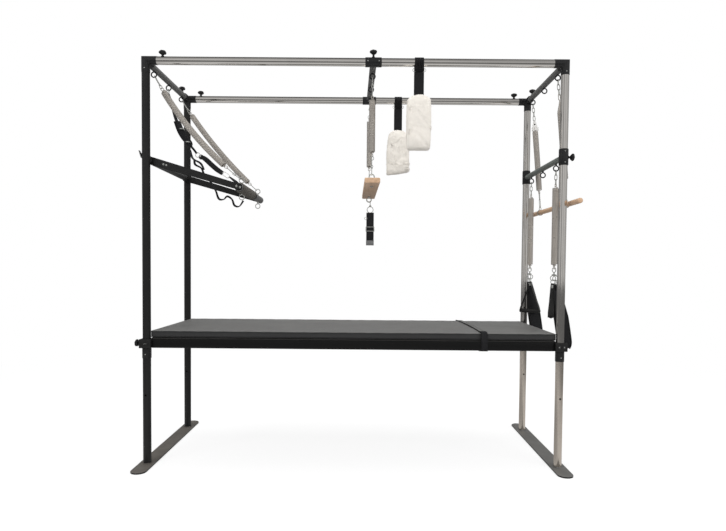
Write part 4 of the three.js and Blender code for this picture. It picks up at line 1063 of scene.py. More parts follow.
def coil_between(shape, start, end):
    """A close-wound coil between two points with a wire loop at each end."""
    start, end = Vector(start), Vector(end)
    run = (end - start).normalized()
    length = (end - start).length
    body = length - COIL_WIRE * 2
    mesh = grown(
        COIL_TREE, Length=body, Turns=body / (COIL_WIRE * 0.82), Radius=(COIL - COIL_WIRE) / 2,
        Wire=COIL_WIRE / 2, Finish=NICKEL,
    )
    turn = Vector((0.0, 0.0, 1.0)).rotation_difference(run).to_matrix().to_4x4()
    shape.add_mesh(mesh, Matrix.Translation(start + run * COIL_WIRE) @ turn, NICKEL)
    # A cone of wire at each end that draws in to the loop.
    side = run.orthogonal().normalized()
    other = run.cross(side)
    radius = (COIL - COIL_WIRE) / 2
    for base, way in ((start + run * COIL_WIRE, -1.0), (end - run * COIL_WIRE, 1.0)):
        path = []
        for step in range(37):
            t = step / 36
            a = math.tau * 1.5 * t
            reach = radius * (1 - t * 0.78)
            path.append(spoke(base + run * (way * 0.011 * t), side, other, reach, a))
        shape.sweep(path, circle(COIL_WIRE / 2, 8), run)
        shape.ring(base + run * (way * 0.0185), other, 0.0085, COIL_WIRE, 28, 10)

SIDES = (("left", -1), ("right", 1))
DEPTHS = (("front", -1), ("rear", 1))
CLEAR = 0.00035
BACK = Vector((0.0, 1.0, 0.0))
UP = Vector((0.0, 0.0, 1.0))
ALONG = Vector((1.0, 0.0, 0.0))


def drilled(mesh, place, axis, diameter, reach):
    """A mesh with a round hole bored through it."""
    cutter = Shape()
    cutter.rod(Vector(place), Vector(place) + Vector(axis) * reach, diameter, 24)
    tool = bpy.data.meshes.new("drill")
    bmesh.ops.recalc_face_normals(cutter.mesh, faces=cutter.mesh.faces)
    cutter.mesh.to_mesh(tool)
    cutter.mesh.free()
    drill = bpy.data.objects.new("drill", tool)
    bpy.context.scene.collection.objects.link(drill)
    result = solved(mesh, ("BOOLEAN", {"object": drill, "operation": "DIFFERENCE", "solver": "EXACT"}))
    bpy.data.objects.remove(drill)
    return result


def loose_mesh(shape, name="loose"):
    """The mesh of a shape that goes on into another piece."""
    bmesh.ops.recalc_face_normals(shape.mesh, faces=shape.mesh.faces)
    mesh = bpy.data.meshes.new(name)
    shape.mesh.to_mesh(mesh)
    shape.mesh.free()
    return mesh


def foot_outline():
    """The floor plate's outline, with half-elliptical ends."""
    straight = FOOT_LENGTH / 2 - FOOT_END
    points = []
    for sign in (1, -1):
        for step in range(25):
            a = math.pi * step / 24
            points.append((sign * FOOT_WIDTH / 2 * math.cos(a), sign * (straight + FOOT_END * math.sin(a))))
    return points


def add_foot(name, side):
    """A floor plate with two welded legs, each bored for a height pin."""
    black = side < 0
    shape = Shape()
    shape.use(FOOT_PAINT if black else PEWTER)
    shape.plate(foot_outline(), at(side * POST_X, -FOOT_FORWARD, FOOT_THICK / 2), FOOT_THICK, ALONG, BACK,
                0.0012, 3)
    # The plate's edges take black paint, darker than its top: painted shade.
    shape.repaint(0, BLACK_PAINT, lambda face: abs(face.normal.z) < 0.5)
    legs = BLACK_PAINT if black else LEG_CHROME
    for _, depth in DEPTHS:
        foot = at(side * POST_X, depth * POST_Y, FOOT_THICK * 0.5)
        leg = Shape()
        leg.tube(foot, at(side * POST_X, depth * POST_Y, LEG_TOP), TUBE, TUBE_WALL, 64)
        hole = at(side * POST_X, depth * POST_Y, LEG_HOLE_Z)
        mesh = drilled(loose_mesh(leg), hole, -BACK, LEG_HOLE, TUBE)
        shape.add_mesh(mesh, Matrix.Identity(4), legs)
        # The weld bead: a ring that ripples round the foot of the leg.
        ripples = 56
        bead = []
        for i in range(ripples * 3):
            a = math.tau * i / (ripples * 3)
            swell = 0.0004 * math.sin(a * ripples) + 0.0003 * noise.noise(Vector((math.cos(a), math.sin(a),
                side + depth)) * 3)
            reach = TUBE / 2 + 0.0004 + swell
            bead.append(at(side * POST_X, depth * POST_Y,
                           FOOT_THICK) + Vector((reach * math.cos(a), reach * math.sin(a), 0.0006)))
        shape.use(FOOT_PAINT if black else PEWTER)
        shape.sweep(bead, circle(0.0024, 8), UP, closed=True)
    shape.done(f"foot_{name}_finished", "frame", "black_paint" if black else "leg_steel",
               f"foot_frame_{name}")


def add_post(name, side, depth):
    """An upright tube."""
    shape = Shape()
    shape.use(BLACK_PAINT if side < 0 else CHROME)
    low = at(side * POST_X, depth * POST_Y, LEG_TOP + CLEAR)
    shape.tube(low, at(side * POST_X, depth * POST_Y, RAIL_Z - SOCKET / 2 - CLEAR), TUBE, TUBE_WALL, 64)
    shape.done(f"{name}_finished", "frame", "black_paint" if side < 0 else "chrome", name)


CORNER_VOXEL = 0.0019
CORNER_TUBE = 0.0446


def add_corner(name, side, depth):
    """A moulded three-way socket with filleted joins and set screws."""
    centre = at(side * POST_X, depth * POST_Y, RAIL_Z)
    ways = (Vector((0, 0, -1)), Vector((-side, 0, 0)), Vector((0, -depth, 0)))
    body = Shape()
    # The upright and the long socket meet in a mitre, so the outer corner is square.
    down, along = ways[0], ways[1]
    rows = []
    for spot, out in ((centre + down * SOCKET_REACH, -along), (centre, -down - along),
                      (centre + along * SOCKET_REACH, -down)):
        turns = [math.tau * i / 56 for i in range(56)]
        rows.append([spot + (BACK * math.cos(a) + out * math.sin(a)) * (CORNER_TUBE / 2) for a in turns])
    body.rings(rows)
    body.rod(centre, centre + ways[2] * SOCKET_REACH, CORNER_TUBE, 56, 0.0012)
    mesh = solved(
        loose_mesh(body),
        ("REMESH", {"mode": "VOXEL", "voxel_size": CORNER_VOXEL}),
        ("SMOOTH", {"factor": 0.5, "iterations": 2}),
    )
    shape = Shape()
    shape.add_mesh(mesh, Matrix.Identity(4), MOULDING)
    outward = (Vector((side, 0, 0)), Vector((0, depth, 0)))
    set_screw(shape, centre - UP * (SOCKET_REACH * 0.72) + outward[1] * (CORNER_TUBE / 2 - 0.0002),
              outward[1])
    set_screw(shape, centre + ways[1] * (SOCKET_REACH * 0.72) + UP * (CORNER_TUBE / 2 - 0.0002), UP)
    set_screw(shape, centre + ways[2] * (SOCKET_REACH * 0.72) + UP * (CORNER_TUBE / 2 - 0.0002), UP)
    shape.done(f"{name}_finished", "frame", "moulding", name, sharp=60.0)


def add_rail(name, depth):
    """A long chrome tube between the corners."""
    half = POST_X - SOCKET / 2 - CLEAR
    shape = Shape()
    shape.use(CHROME)
    shape.tube(at(-half, depth * POST_Y, RAIL_Z), at(half, depth * POST_Y, RAIL_Z), TUBE, TUBE_WALL, 64)
    shape.done(f"{name}_finished", "frame", "chrome", name)


def add_crossbar(name, side):
    """An end bar with three eye rings under it."""
    half = POST_Y - SOCKET / 2 - CLEAR
    shape = Shape()
    shape.use(BAR_STEEL)
    x = side * POST_X
    shape.tube(at(x, -half, RAIL_Z), at(x, half, RAIL_Z), END_BAR, TUBE_WALL, 48)
    for place in (-1, 0, 1):
        eye_on(shape, at(x, place * EYE_Y, RAIL_Z), -EYE_DROP)
    shape.done(f"crossbar_{name}_finished", "frame", "bar_steel", f"crossbar_{name}")


def add_bed_frame():
    """The welded box-section ring under the deck, with its bearers."""
    shape = Shape()
    # The frame takes the darker copy of the black powder coat: painted shade.
    shape.use(FRAME_PAINT_PAINTED_SHADE)
    half = BED_LENGTH / 2
    top = BED_LOW + BED_HEIGHT
    wide = BED_RAIL_WIDTH / 2
    for sign in (-1, 1):
        y = sign * POST_Y
        shape.box(at(-half, y - wide, BED_LOW), at(half, y + wide, top), 0.0028, 3)
        x = sign * (half - wide)
        shape.box(at(x - wide, -POST_Y + wide * 0.9, BED_LOW + 0.0002),
                  at(x + wide, POST_Y - wide * 0.9, top - 0.0002), 0.0028, 3)
        x = sign * BEARER_X
        shape.box(at(x - wide, -POST_Y + wide * 0.9, top - BEARER_HEIGHT),
                  at(x + wide, POST_Y - wide * 0.9, top - 0.0002), 0.0024, 3)
    shape.done("bed_frame_finished", "frame", "black_paint", "bed_frame")


def add_bed_corner(name, side, depth):
    """A clamp block on the leg: a sleeve below and bolts, or a clamping slot, on the outside."""
    shape = Shape()
    half = BLOCK / 2
    place = at(side * POST_X, depth * POST_Y, BED_LOW)
    shape.use(BLACK_PAINT)
    low = place - Vector((half, half, 0))
    high = place + Vector((half, half, BED_HEIGHT))
    if side > 0:
        shape.box(low, high, 0.0022, 3)
    else:
        # The outer half is split by the clamping slot.
        shape.box(Vector((place.x - 0.004, low.y, low.z)), high, 0.0022, 3)
        for lower, upper in ((low.y, place.y - 0.0015), (place.y + 0.0015, high.y)):
            shape.box(Vector((low.x, lower, low.z)), Vector((place.x, upper, high.z)), 0.0018, 3)
    shape.lathe(place, place - UP, [
        (-0.001, 0.0), (-0.001, SLEEVE / 2), (SLEEVE_LENGTH - 0.0015, SLEEVE / 2),
        (SLEEVE_LENGTH - 0.0004, SLEEVE / 2 - 0.0006),
        (SLEEVE_LENGTH, SLEEVE / 2 - 0.0018), (SLEEVE_LENGTH, 0.0),
    ], 56)
    face = place + BACK * (depth * half) + UP * (BED_HEIGHT / 2)
    outward = BACK * depth
    if side > 0:
        for bolt in (-1, 1):
            head = face + ALONG * (bolt * BOLT_SPACING / 2)
            shape.use(BLACK_BOLT)
            shape.lathe(head, head + outward, [
                (-0.002, 0.0), (-0.002, 0.0075), (0.0008, 0.0075), (0.0012, BOLT_HEAD / 2),
                (0.0034, BOLT_HEAD / 2 - 0.0002),
                (0.0046, BOLT_HEAD / 2 - 0.0016), (0.0050, 0.0029), (0.0034, 0.0029), (0.0034, 0.0),
            ], 40)
            # A small bright zinc hexagon in each bolt's socket: painted highlight.
            shape.use(ZINC)
            shape.rod(head + outward * 0.0030, head + outward * 0.0046, 0.0046, 6, 0.0002)
    else:
        # A small bright zinc dash on the outer face of the left blocks: painted highlight.
        shape.use(ZINC)
        shape.box(face + Vector((-0.009, -0.0008, -0.0012)), face + Vector((0.009, 0.0008, 0.0012)), 0.0005,
                  2)
    set_screw(shape, place - UP * (SLEEVE_LENGTH * 0.6) + outward * (SLEEVE / 2 - 0.0002), outward)
    shape.done(f"{name}_finished", "frame", "black_paint", name)


def add_frame():
    """Everything of steel that stands still."""
    for side_name, side in SIDES:
        add_foot(side_name, side)
        add_crossbar(side_name, side)
        seat = at(side * POST_X, CROSSBAR_KNOB_Y, RAIL_Z + END_BAR / 2)
        add_knob(f"crossbar_knob_{side_name}", seat, UP)
        for depth_name, depth in DEPTHS:
            add_post(f"post_{depth_name}_{side_name}", side, depth)
            add_corner(f"corner_{depth_name}_{side_name}", side, depth)
            add_bed_corner(f"bed_corner_{depth_name}_{side_name}", side, depth)
    for depth_name, depth in DEPTHS:
        add_rail(f"top_rail_{depth_name}", depth)
    for name, x, depth in (("front_left", -1, -1), ("rear_left", -1, 1), ("rear_right", 1, 1)):
        seat = at(x * RAIL_KNOB_X, depth * POST_Y, RAIL_Z + TUBE / 2)
        add_knob(f"rail_knob_{name}", seat, UP)
    add_bed_frame()
    seat = at(-POST_X - BLOCK / 2, -POST_Y, BED_LOW + BED_HEIGHT / 2)
    add_knob("bed_knob", seat, -ALONG)
    # The pull pin on the front left post.
    shape = Shape()
    low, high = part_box("lock_pin")
    middle = (low + high) / 2
    shape.use(ZINC)
    shape.rod(Vector((high.x, middle.y, middle.z)), Vector((low.x + 0.004, middle.y, middle.z)), 0.0066, 24)
    shape.use(MOULDING)
    flare = Vector((0.0, 0.002, 0.002))
    shape.box(low + flare, Vector((low.x + 0.005, high.y, high.z)) - flare, 0.0018, 3)
    shape.lathe(Vector((low.x + 0.0045, middle.y, middle.z)), Vector((high.x, middle.y, middle.z)), [
        (0.0, 0.0), (0.0, 0.0085), (0.002, 0.0088), (0.0055, 0.0062), (0.007, 0.006), (0.007, 0.0),
    ], 28)
    # Its head leans, as a pin does that is not pushed home.
    for vertex in shape.mesh.verts:
        vertex.co.x += 0.005 - (vertex.co.z - middle.z) * 0.3
    shape.done("lock_pin_finished", "lock_pin_body", "moulding", "lock_pin")


add_frame()

SEAT = 0.0062
MID_ASKEW = (-0.0022, -0.026)
# Each push spring: hardware before its coil, hardware after it, and how far it hangs below the straight line.
PUSH_SPRINGS = {"front": (0.104, 0.125, 0.039), "rear": (0.118, 0.082, 0.027)}
LOOP_REACH = 0.026


def hang(shape, start, end, normal):
    """Hardware between an eye and a coil: one link, a snap, or links and a snap."""
    start, end = Vector(start), Vector(end)
    length = (end - start).length
    run = (end - start).normalized()
    shape.use(ZINC)
    if length < 0.06:
        chain(shape, start, end, 1, normal)
    elif length < 0.1:
        snap_hook(shape, start, end, normal)
    else:
        middle = start + run * min(0.078, length * 0.55)
        snap_hook(shape, start, middle, normal)
        shape.use(ZINC)
        chain(shape, middle - run * 0.006, end, 2 if length > 0.15 else 1, normal)


def bow(shape, start, end, push):
    """Bends a shape between two places; push is how far its middle goes."""
    run, length = (end - start).normalized(), (end - start).length
    for vertex in shape.mesh.verts:
        share = max(0.0, min(1.0, (vertex.co - start).dot(run) / length))
        vertex.co += push * (4 * share * (1 - share))


def add_spring_between(shape, eye, end, lead, tail, low_seat=SEAT):
    """A whole spring: hardware, coil, hardware."""
    eye, end = Vector(eye), Vector(end)
    run = (end - eye).normalized()
    length = (end - eye).length
    normal = run.cross(BACK).normalized()
    hang(shape, eye + run * SEAT, eye + run * (lead - LOOP_REACH + LINK_WIRE * 2), normal)
    hang(shape, end - run * low_seat, end - run * (tail - LOOP_REACH + LINK_WIRE * 2), normal)
    shape.use(NICKEL)
    coil_between(shape, eye + run * lead, eye + run * (length - tail))


def stitches(shape, path, pitch=0.0042, length=0.0026, thread=0.0003, colour=None):
    """A row of stitches along a path."""
    line = bpy.data.meshes.new("line")
    line.from_pydata([tuple(p) for p in path], [(i, i + 1) for i in range(len(path) - 1)], [])
    finish_name = colour or WEBBING
    mesh = grown(STITCH_TREE, line, Pitch=pitch, Length=length, Thread=thread, Finish=finish_name)
    shape.add_mesh(mesh, Matrix.Identity(4), finish_name)


def strap(shape, path, width, thick, side, closed=False, widths=None, finish_used=None):
    """A flat woven strap along a path; side is across the strap."""
    shape.use(finish_used or WEBBING)
    shape.sweep(path, rounded_rectangle(width, thick, thick * 0.45, 2), side, closed, widths=widths)


def add_push_bar():
    """The push-through bar: axle, arms, handle, grip, springs and the webbing that catches it."""
    pivot = at(-POST_X, 0.0, PIVOT_Z)
    handle = at(-POST_X + HANDLE_ACROSS, 0.0, PIVOT_Z - HANDLE_DROP)
    run = (handle - pivot).normalized()
    rise = BACK.cross(run) * -1
    reach = (handle - pivot).length
    shape = Shape()
    shape.use(AXLE_STEEL)
    inner = POST_Y - TUBE / 2 - 0.001
    shape.rod(pivot - BACK * inner, pivot + BACK * inner, AXLE, 48, 0.0012)
    shape.rod(pivot - BACK * (inner + 0.009), pivot + BACK * (inner + 0.009), 0.0158, 32)
    for sign in (-1, 1):
        shape.ring(pivot + BACK * (sign * (inner - 0.003)), BACK, AXLE / 2 + 0.0006, 0.0026, 48, 8)
    shape.done("push_axle_finished", "push_bar", "black_paint", "push_bar_axle")
    boss, tip = 0.023, ARM_WIDTH / 2
    outline = []
    for centre, radius, start, end in ((0.0, boss, 0.36, 1.64), (reach, tip, -0.5, 0.5)):
        for step in range(25):
            a = math.pi * (start + (end - start) * step / 24)
            outline.append((centre + radius * math.cos(a), radius * math.sin(a)))
    for depth_name, depth in DEPTHS:
        shape = Shape()
        shape.use(BLACK_PAINT)
        middle = pivot + BACK * (depth * ARM_Y)
        shape.plate(outline, middle, ARM_THICK, run, rise, 0.0012, 3)
        outward = BACK * depth
        for place in (0.084, 0.1, reach - 0.01, reach + 0.01):
            head = middle + run * place + outward * (ARM_THICK / 2)
            shape.use(ZINC)
            shape.lathe(head, head + outward, [
                (-0.001, 0.0), (-0.001, 0.0056), (0.0006, 0.0056), (0.001, 0.0048), (0.0026, 0.0042),
                (0.0033, 0.0028), (0.0034, 0.0),
            ], 28)
            # A dark hexagon on each bolt head for its socket: painted shade.
            shape.use(PAINTED_SHADE_BLACK)
            shape.rod(head + outward * 0.0030, head + outward * 0.0035, 0.0032, 6, 0.0001)
        shape.done(f"push_arm_{depth_name}_finished", "push_bar", "black_paint", f"push_bar_arm_{depth_name}")
    shape = Shape()
    shape.use(BAR_STEEL)
    half = ARM_Y - ARM_THICK / 2 - CLEAR
    shape.tube(handle - BACK * half, handle + BACK * half, TUBE, TUBE_WALL, 56)
    for sign in (-1, 1):
        for rise_by in (PUSH_EYE, -PUSH_EYE):
            eye_on(shape, handle + BACK * (sign * EYE_Y), rise_by, wire=0.0048, finish_used=ZINC)
    shape.use(MOULDING)
    shape.lathe(handle + BACK * 0.044, handle + BACK * 0.05, [
        (0.0, TUBE / 2 + 0.0004), (0.0, 0.0262), (0.002, 0.0272), (0.008, 0.0272), (0.01, 0.0262),
        (0.01, TUBE / 2 + 0.0004),
    ], 48, hollow=True)
    shape.done("push_handle_finished", "push_bar", "black_paint", "push_bar_handle")
    shape = Shape()
    shape.use(FOAM)
    inner, outer = TUBE / 2 + 0.0004, GRIP / 2
    length = GRIP_Y[1] - GRIP_Y[0]
    ribs = 10
    profile = [(0.0, inner), (0.0, outer - 0.004), (0.0015, outer - 0.0026)]
    steps = ribs * 10
    for step in range(1, steps):
        swell = abs(math.sin(math.pi * ribs * step / steps)) ** 0.45
        profile.append((0.0015 + (length - 0.003) * step / steps, outer - 0.0026 + 0.0026 * swell))
    profile += [(length - 0.0015, outer - 0.0026), (length, outer - 0.004), (length, inner)]
    shape.lathe(handle + BACK * GRIP_Y[0], handle + BACK * GRIP_Y[1], profile, 56, hollow=True)
    shape.done("push_grip_finished", "push_bar", "foam", "push_bar_grip", sharp=50.0)
    for depth_name, depth in DEPTHS:
        shape = Shape()
        eye = at(-POST_X, depth * EYE_Y, RAIL_Z - EYE_DROP)
        end = handle + BACK * (depth * EYE_Y) + UP * PUSH_EYE
        lead, tail, sag = PUSH_SPRINGS[depth_name]
        add_spring_between(shape, eye, end, lead, tail)
        bow(shape, eye, end, BACK.cross((end - eye).normalized()) * sag)
        stretch(shape, f"push_spring_{depth_name}_finished", f"push_spring_{depth_name}")
    add_safety_strap(handle)


def stretch(shape, name, node):
    """Makes a piece that runs from the frame to the push bar, riding on neither, and hides the node that it
    stands for.
    """
    mesh = loose_mesh(shape, name)
    for material in shape.finishes:
        mesh.materials.append(material)
    mesh.shade_smooth()
    mesh.set_sharp_from_angle(angle=math.radians(45))
    piece = bpy.data.objects.new(name, mesh)
    bpy.context.scene.collection.objects.link(piece)
    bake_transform(piece)
    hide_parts(node)


def twisted(shape, points, width, thick, turns, steps=10, finish_used=None):
    """Webbing that turns about its own run; turns gives its lean in degrees at each point."""
    path = smooth_path(points, steps)
    shape.use(finish_used or WEBBING)
    outline = rounded_rectangle(width, thick, thick * 0.45, 2)
    rows, along = [], [0.0]
    count = len(path)
    for i, point in enumerate(path):
        tangent = (path[min(i + 1, count - 1)] - path[max(i - 1, 0)]).normalized()
        place = i / (count - 1) * (len(turns) - 1)
        low = min(int(place), len(turns) - 2)
        lean = math.radians(turns[low] + (turns[low + 1] - turns[low]) * (place - low))
        flat = (BACK - tangent * BACK.dot(tangent)).normalized()
        upright = tangent.cross(flat)
        side = flat * math.cos(lean) + upright * math.sin(lean)
        other = tangent.cross(side)
        rows.append([point + side * u + other * v for u, v in outline])
        along.append(along[-1] + (path[min(i + 1, count - 1)] - point).length)
    around = [0.0]
    for i in range(len(outline)):
        a, b = Vector(outline[i]), Vector(outline[(i + 1) % len(outline)])
        around.append(around[-1] + (b - a).length)
    shape.rings(rows, False, True, along, around)


def add_safety_strap(handle):
    """Webbing with slides, a ring and loose tails, from the crossbar's middle eye to the handle."""
    shape = Shape()
    eye = at(-POST_X, 0.0, RAIL_Z - EYE_DROP)
    shape.use(ZINC)
    chain(shape, eye - UP * SEAT, eye - UP * 0.038, 1, ALONG, 0.022)
    upper = [at(-1.100, 0.002, 2.074), at(-1.090, 0.006, 2.030), at(-1.080, 0.010, 1.985),
             at(-1.063, 0.014, 1.930),
             at(-1.040, 0.018, 1.872)]
    twisted(shape, upper, 0.025, 0.0024, (0, 25, 10, 30, 55))
    # Two layers bunch together on the way down, one behind the other.
    for shift, lean in ((0.0, (60, 78, 66, 50, 30)), (0.012, (35, 60, 82, 70, 40))):
        middle = [at(-1.063 + shift, 0.018, 1.918), at(-1.046 + shift, 0.022, 1.868),
                  at(-1.024 + shift, 0.026, 1.826),
                  at(-1.000 + shift, 0.03, 1.796), at(-0.984, 0.032, 1.778)]
        twisted(shape, middle, 0.030, 0.0034, lean)
    twisted(shape, [at(-0.990, 0.031, 1.786), at(-0.966, 0.033, 1.758), at(-0.946, 0.035, 1.732)], 0.013,
            0.0024, (70, 85, 60))
    shape.use(MOULDING)
    for x, z in ((-1.029, 1.872), (-0.993, 1.796)):
        shape.box(at(x - 0.011, 0.006, z - 0.004), at(x + 0.011, 0.044, z + 0.004), 0.0016, 2)
    # A bare ring and a slide where the lower strap starts.
    shape.use(ZINC)
    shape.ring(at(-0.941, 0.035, 1.724), BACK, 0.0135, 0.0035, 28, 10)
    shape.use(MOULDING)
    shape.ring(at(-0.921, 0.036, 1.712), BACK, 0.0125, 0.0050, 28, 10)
    lower = [at(-0.925, 0.036, 1.716), at(-0.896, 0.040, 1.700), at(-0.861, 0.044, 1.668),
             at(-0.828, 0.047, 1.640),
             at(-0.795, 0.050, 1.618)]
    twisted(shape, lower, 0.030, 0.0036, (40, 72, 88, 80, 55))
    shape.use(WHITE_PLATE)
    chain(shape, at(-0.798, 0.050, 1.624), at(-0.756, 0.054, 1.596), 1, BACK, 0.026)
    twisted(shape, [at(-0.758, 0.054, 1.600), at(-0.722, 0.057, 1.572), at(-0.682, 0.060, 1.540),
                    at(-0.647, 0.062, 1.508)],
            0.025, 0.0024, (10, 40, 20, 0))
    # The loop round the handle.
    centre = handle + BACK * SAFETY_Y
    loop = [
        centre + Vector((0.0232 * math.cos(a), 0.0, 0.0232 * math.sin(a)))
        for a in (math.tau * i / 48 for i in range(48))
    ]
    strap(shape, loop, 0.025, 0.0025, BACK, closed=True)
    # Loose tails that curl and hang, some of them below the arms.
    tails = (
        ((-0.984, 0.030, 1.752), (-0.969, 0.010, 1.712), (-0.952, 0.000, 1.690), (-0.914, 0.004, 1.668),
         (-0.896, 0.010, 1.632)),
        ((-0.959, 0.030, 1.700), (-0.949, 0.012, 1.664), (-0.910, 0.004, 1.640), (-0.892, 0.010, 1.600),
         (-0.860, 0.010, 1.592)),
        ((-0.879, 0.02, 1.606), (-0.849, 0.01, 1.545), (-0.824, 0.0, 1.508), (-0.806, 0.0, 1.462),
         (-0.778, 0.0, 1.458),
         (-0.756, 0.0, 1.476), (-0.728, 0.0, 1.458), (-0.714, 0.0, 1.424), (-0.686, 0.0, 1.418),
         (-0.662, 0.004, 1.452)),
    )
    for points in tails:
        leans = tuple(35 + 40 * (i % 2) for i in range(len(points)))
        twisted(shape, [at(*point) for point in points], 0.013, 0.0022, leans, 8)
    stretch(shape, "safety_strap_finished", "safety_strap")


def add_slider(shape, place, axis, outward):
    """A moulded sleeve that runs on a tube, with its rims and set screw."""
    place, axis = Vector(place), Vector(axis)
    shape.use(MOULDING)
    half = SLIDER_LENGTH / 2
    bore = TUBE / 2 + 0.0005
    outer = SLIDER / 2
    shape.lathe(place - axis * half, place + axis * half, [
        (0.0, bore + 0.0006), (0.0, outer - 0.0022), (0.0008, outer - 0.0009), (0.0024, outer),
        (SLIDER_LENGTH - 0.0024, outer), (SLIDER_LENGTH - 0.0008, outer - 0.0009),
        (SLIDER_LENGTH, outer - 0.0022),
        (SLIDER_LENGTH, bore + 0.0006), (SLIDER_LENGTH - 0.0006, bore), (0.0006, bore),
    ], 64, hollow=True)
    for sign in (-1, 1):
        set_screw(shape, place + axis * (sign * half * 0.68) + Vector(outward) * (outer - 0.0002), outward)


def mid_offset(y):
    """How far the mid bar stands to the right at a depth: it sits a little askew on its rails."""
    return MID_ASKEW[0] + MID_ASKEW[1] * y


def skewed(shape):
    """Moves a part of the mid bar or trapeze with the askew bar."""
    for vertex in shape.mesh.verts:
        vertex.co.x += mid_offset(vertex.co.y)


def add_mid_bar():
    """The bar that slides on the top rails, with its two sleeves and three eyes."""
    shape = Shape()
    half = POST_Y - TUBE / 2 - 0.0014
    shape.use(BAR_STEEL)
    shape.tube(at(MID_X, -half, RAIL_Z), at(MID_X, half, RAIL_Z), MID_BAR, TUBE_WALL, 48)
    for _, depth in DEPTHS:
        add_slider(shape, at(MID_X, depth * POST_Y, RAIL_Z), ALONG, BACK * depth)
    for place in (-1, 0, 1):
        eye_on(shape, at(MID_X, place * EYE_Y, RAIL_Z), -EYE_DROP)
    skewed(shape)
    shape.done("mid_crossbar_finished", "mid_slide", "bar_steel", "mid_crossbar")
    seat = at(MID_X + mid_offset(-POST_Y), -POST_Y, RAIL_Z + SLIDER / 2)
    add_knob("mid_knob", seat, UP, MID_KNOB_STEM)


# The gap over the eye's lower side that lets a spring hook swing.
SWING_ROOM = 0.004


def add_trapeze():
    """The beech board on two springs, its eye bolts, and the ankle cuff under the rear one."""
    for depth_name, depth in DEPTHS:
        shape = Shape()
        y = depth * EYE_Y
        eye, end = at(MID_X, y, RAIL_Z - EYE_DROP + SWING_ROOM), at(MID_X, y, BOARD_EYE_Z)
        add_spring_between(shape, eye, end, 0.131, 0.133)
        ring_z = {"front": end.z + 0.102, "rear": eye.z - 0.104}[depth_name]
        shape.use(ZINC)
        shape.ring(at(MID_X, y, ring_z), BACK, 0.0105, 0.0036, 32, 10)
        skewed(shape)
        shape.done(f"trapeze_spring_{depth_name}_finished", "trapeze", "spring_steel",
                   f"trapeze_spring_{depth_name}")
        shape = Shape()
        shape.use(ZINC)
        shape.ring(end, BACK, EYE, EYE_WIRE, 40, 14)
        low = BOARD_TOP - BOARD_THICK - 0.0064
        stem = at(MID_X, y, low)
        shape.rod(stem, at(MID_X, y, BOARD_EYE_Z - EYE), 0.0078, 28)
        for z, height in ((BOARD_TOP + 0.0003, 0.0012), (BOARD_TOP - BOARD_THICK - 0.0015, 0.0012)):
            shape.rod(at(MID_X, y, z), at(MID_X, y, z + height), 0.02, 36, 0.0003)
        shape.rod(at(MID_X, y, BOARD_TOP + 0.0015), at(MID_X, y, BOARD_TOP + 0.0075), 0.0148, 6, 0.0005)
        shape.rod(at(MID_X, y, low), at(MID_X, y, low + 0.0045), 0.0148, 6, 0.0005)
        if depth > 0:
            shape.ring(at(MID_X, y, low - EYE), BACK, EYE, EYE_WIRE, 40, 14)
        skewed(shape)
        shape.done(f"trapeze_eye_{depth_name}_finished", "trapeze", "spring_steel",
                   f"trapeze_eye_{depth_name}")
    shape = Shape()
    shape.use(BEECH)
    half = BOARD_LENGTH / 2
    outline = rounded_rectangle(BOARD_WIDTH, BOARD_THICK, 0.006, 6)
    rows = []
    for y, inset in ((-half, 0.0028), (-half + 0.0008, 0.0008), (-half + 0.003, 0.0), (half - 0.003, 0.0),
                     (half - 0.0008, 0.0008), (half, 0.0028)):
        share_u, share_v = 1 - inset * 2 / BOARD_WIDTH, 1 - inset * 2 / BOARD_THICK
        rows.append([at(MID_X + u * share_u, y, BOARD_TOP - BOARD_THICK / 2 + v * share_v) for u,
                     v in outline])
    shape.rings(rows)
    shape.repaint(0, BEECH_FACE, lambda face: face.normal.z < -0.5)
    skewed(shape)
    shape.done("trapeze_board_finished", "trapeze", "beech", "trapeze_board")
    add_cuff()


def teardrop_path(place, top, bottom, depth, steps=48, neck=0.35, lean=0.0):
    """A loop of points that hangs in the Y and Z plane, narrow at its top."""
    middle, half = (top + bottom) / 2, (top - bottom) / 2
    path = []
    for i in range(steps):
        a = math.tau * i / steps
        full = neck + (1 - neck) * (1 - math.cos(a)) / 2
        drop = middle + half * math.cos(a)
        path.append(Vector(place) + Vector((-drop * math.sin(lean), depth / 2 * math.sin(a) * full,
                                            drop * math.cos(lean))))
    return path


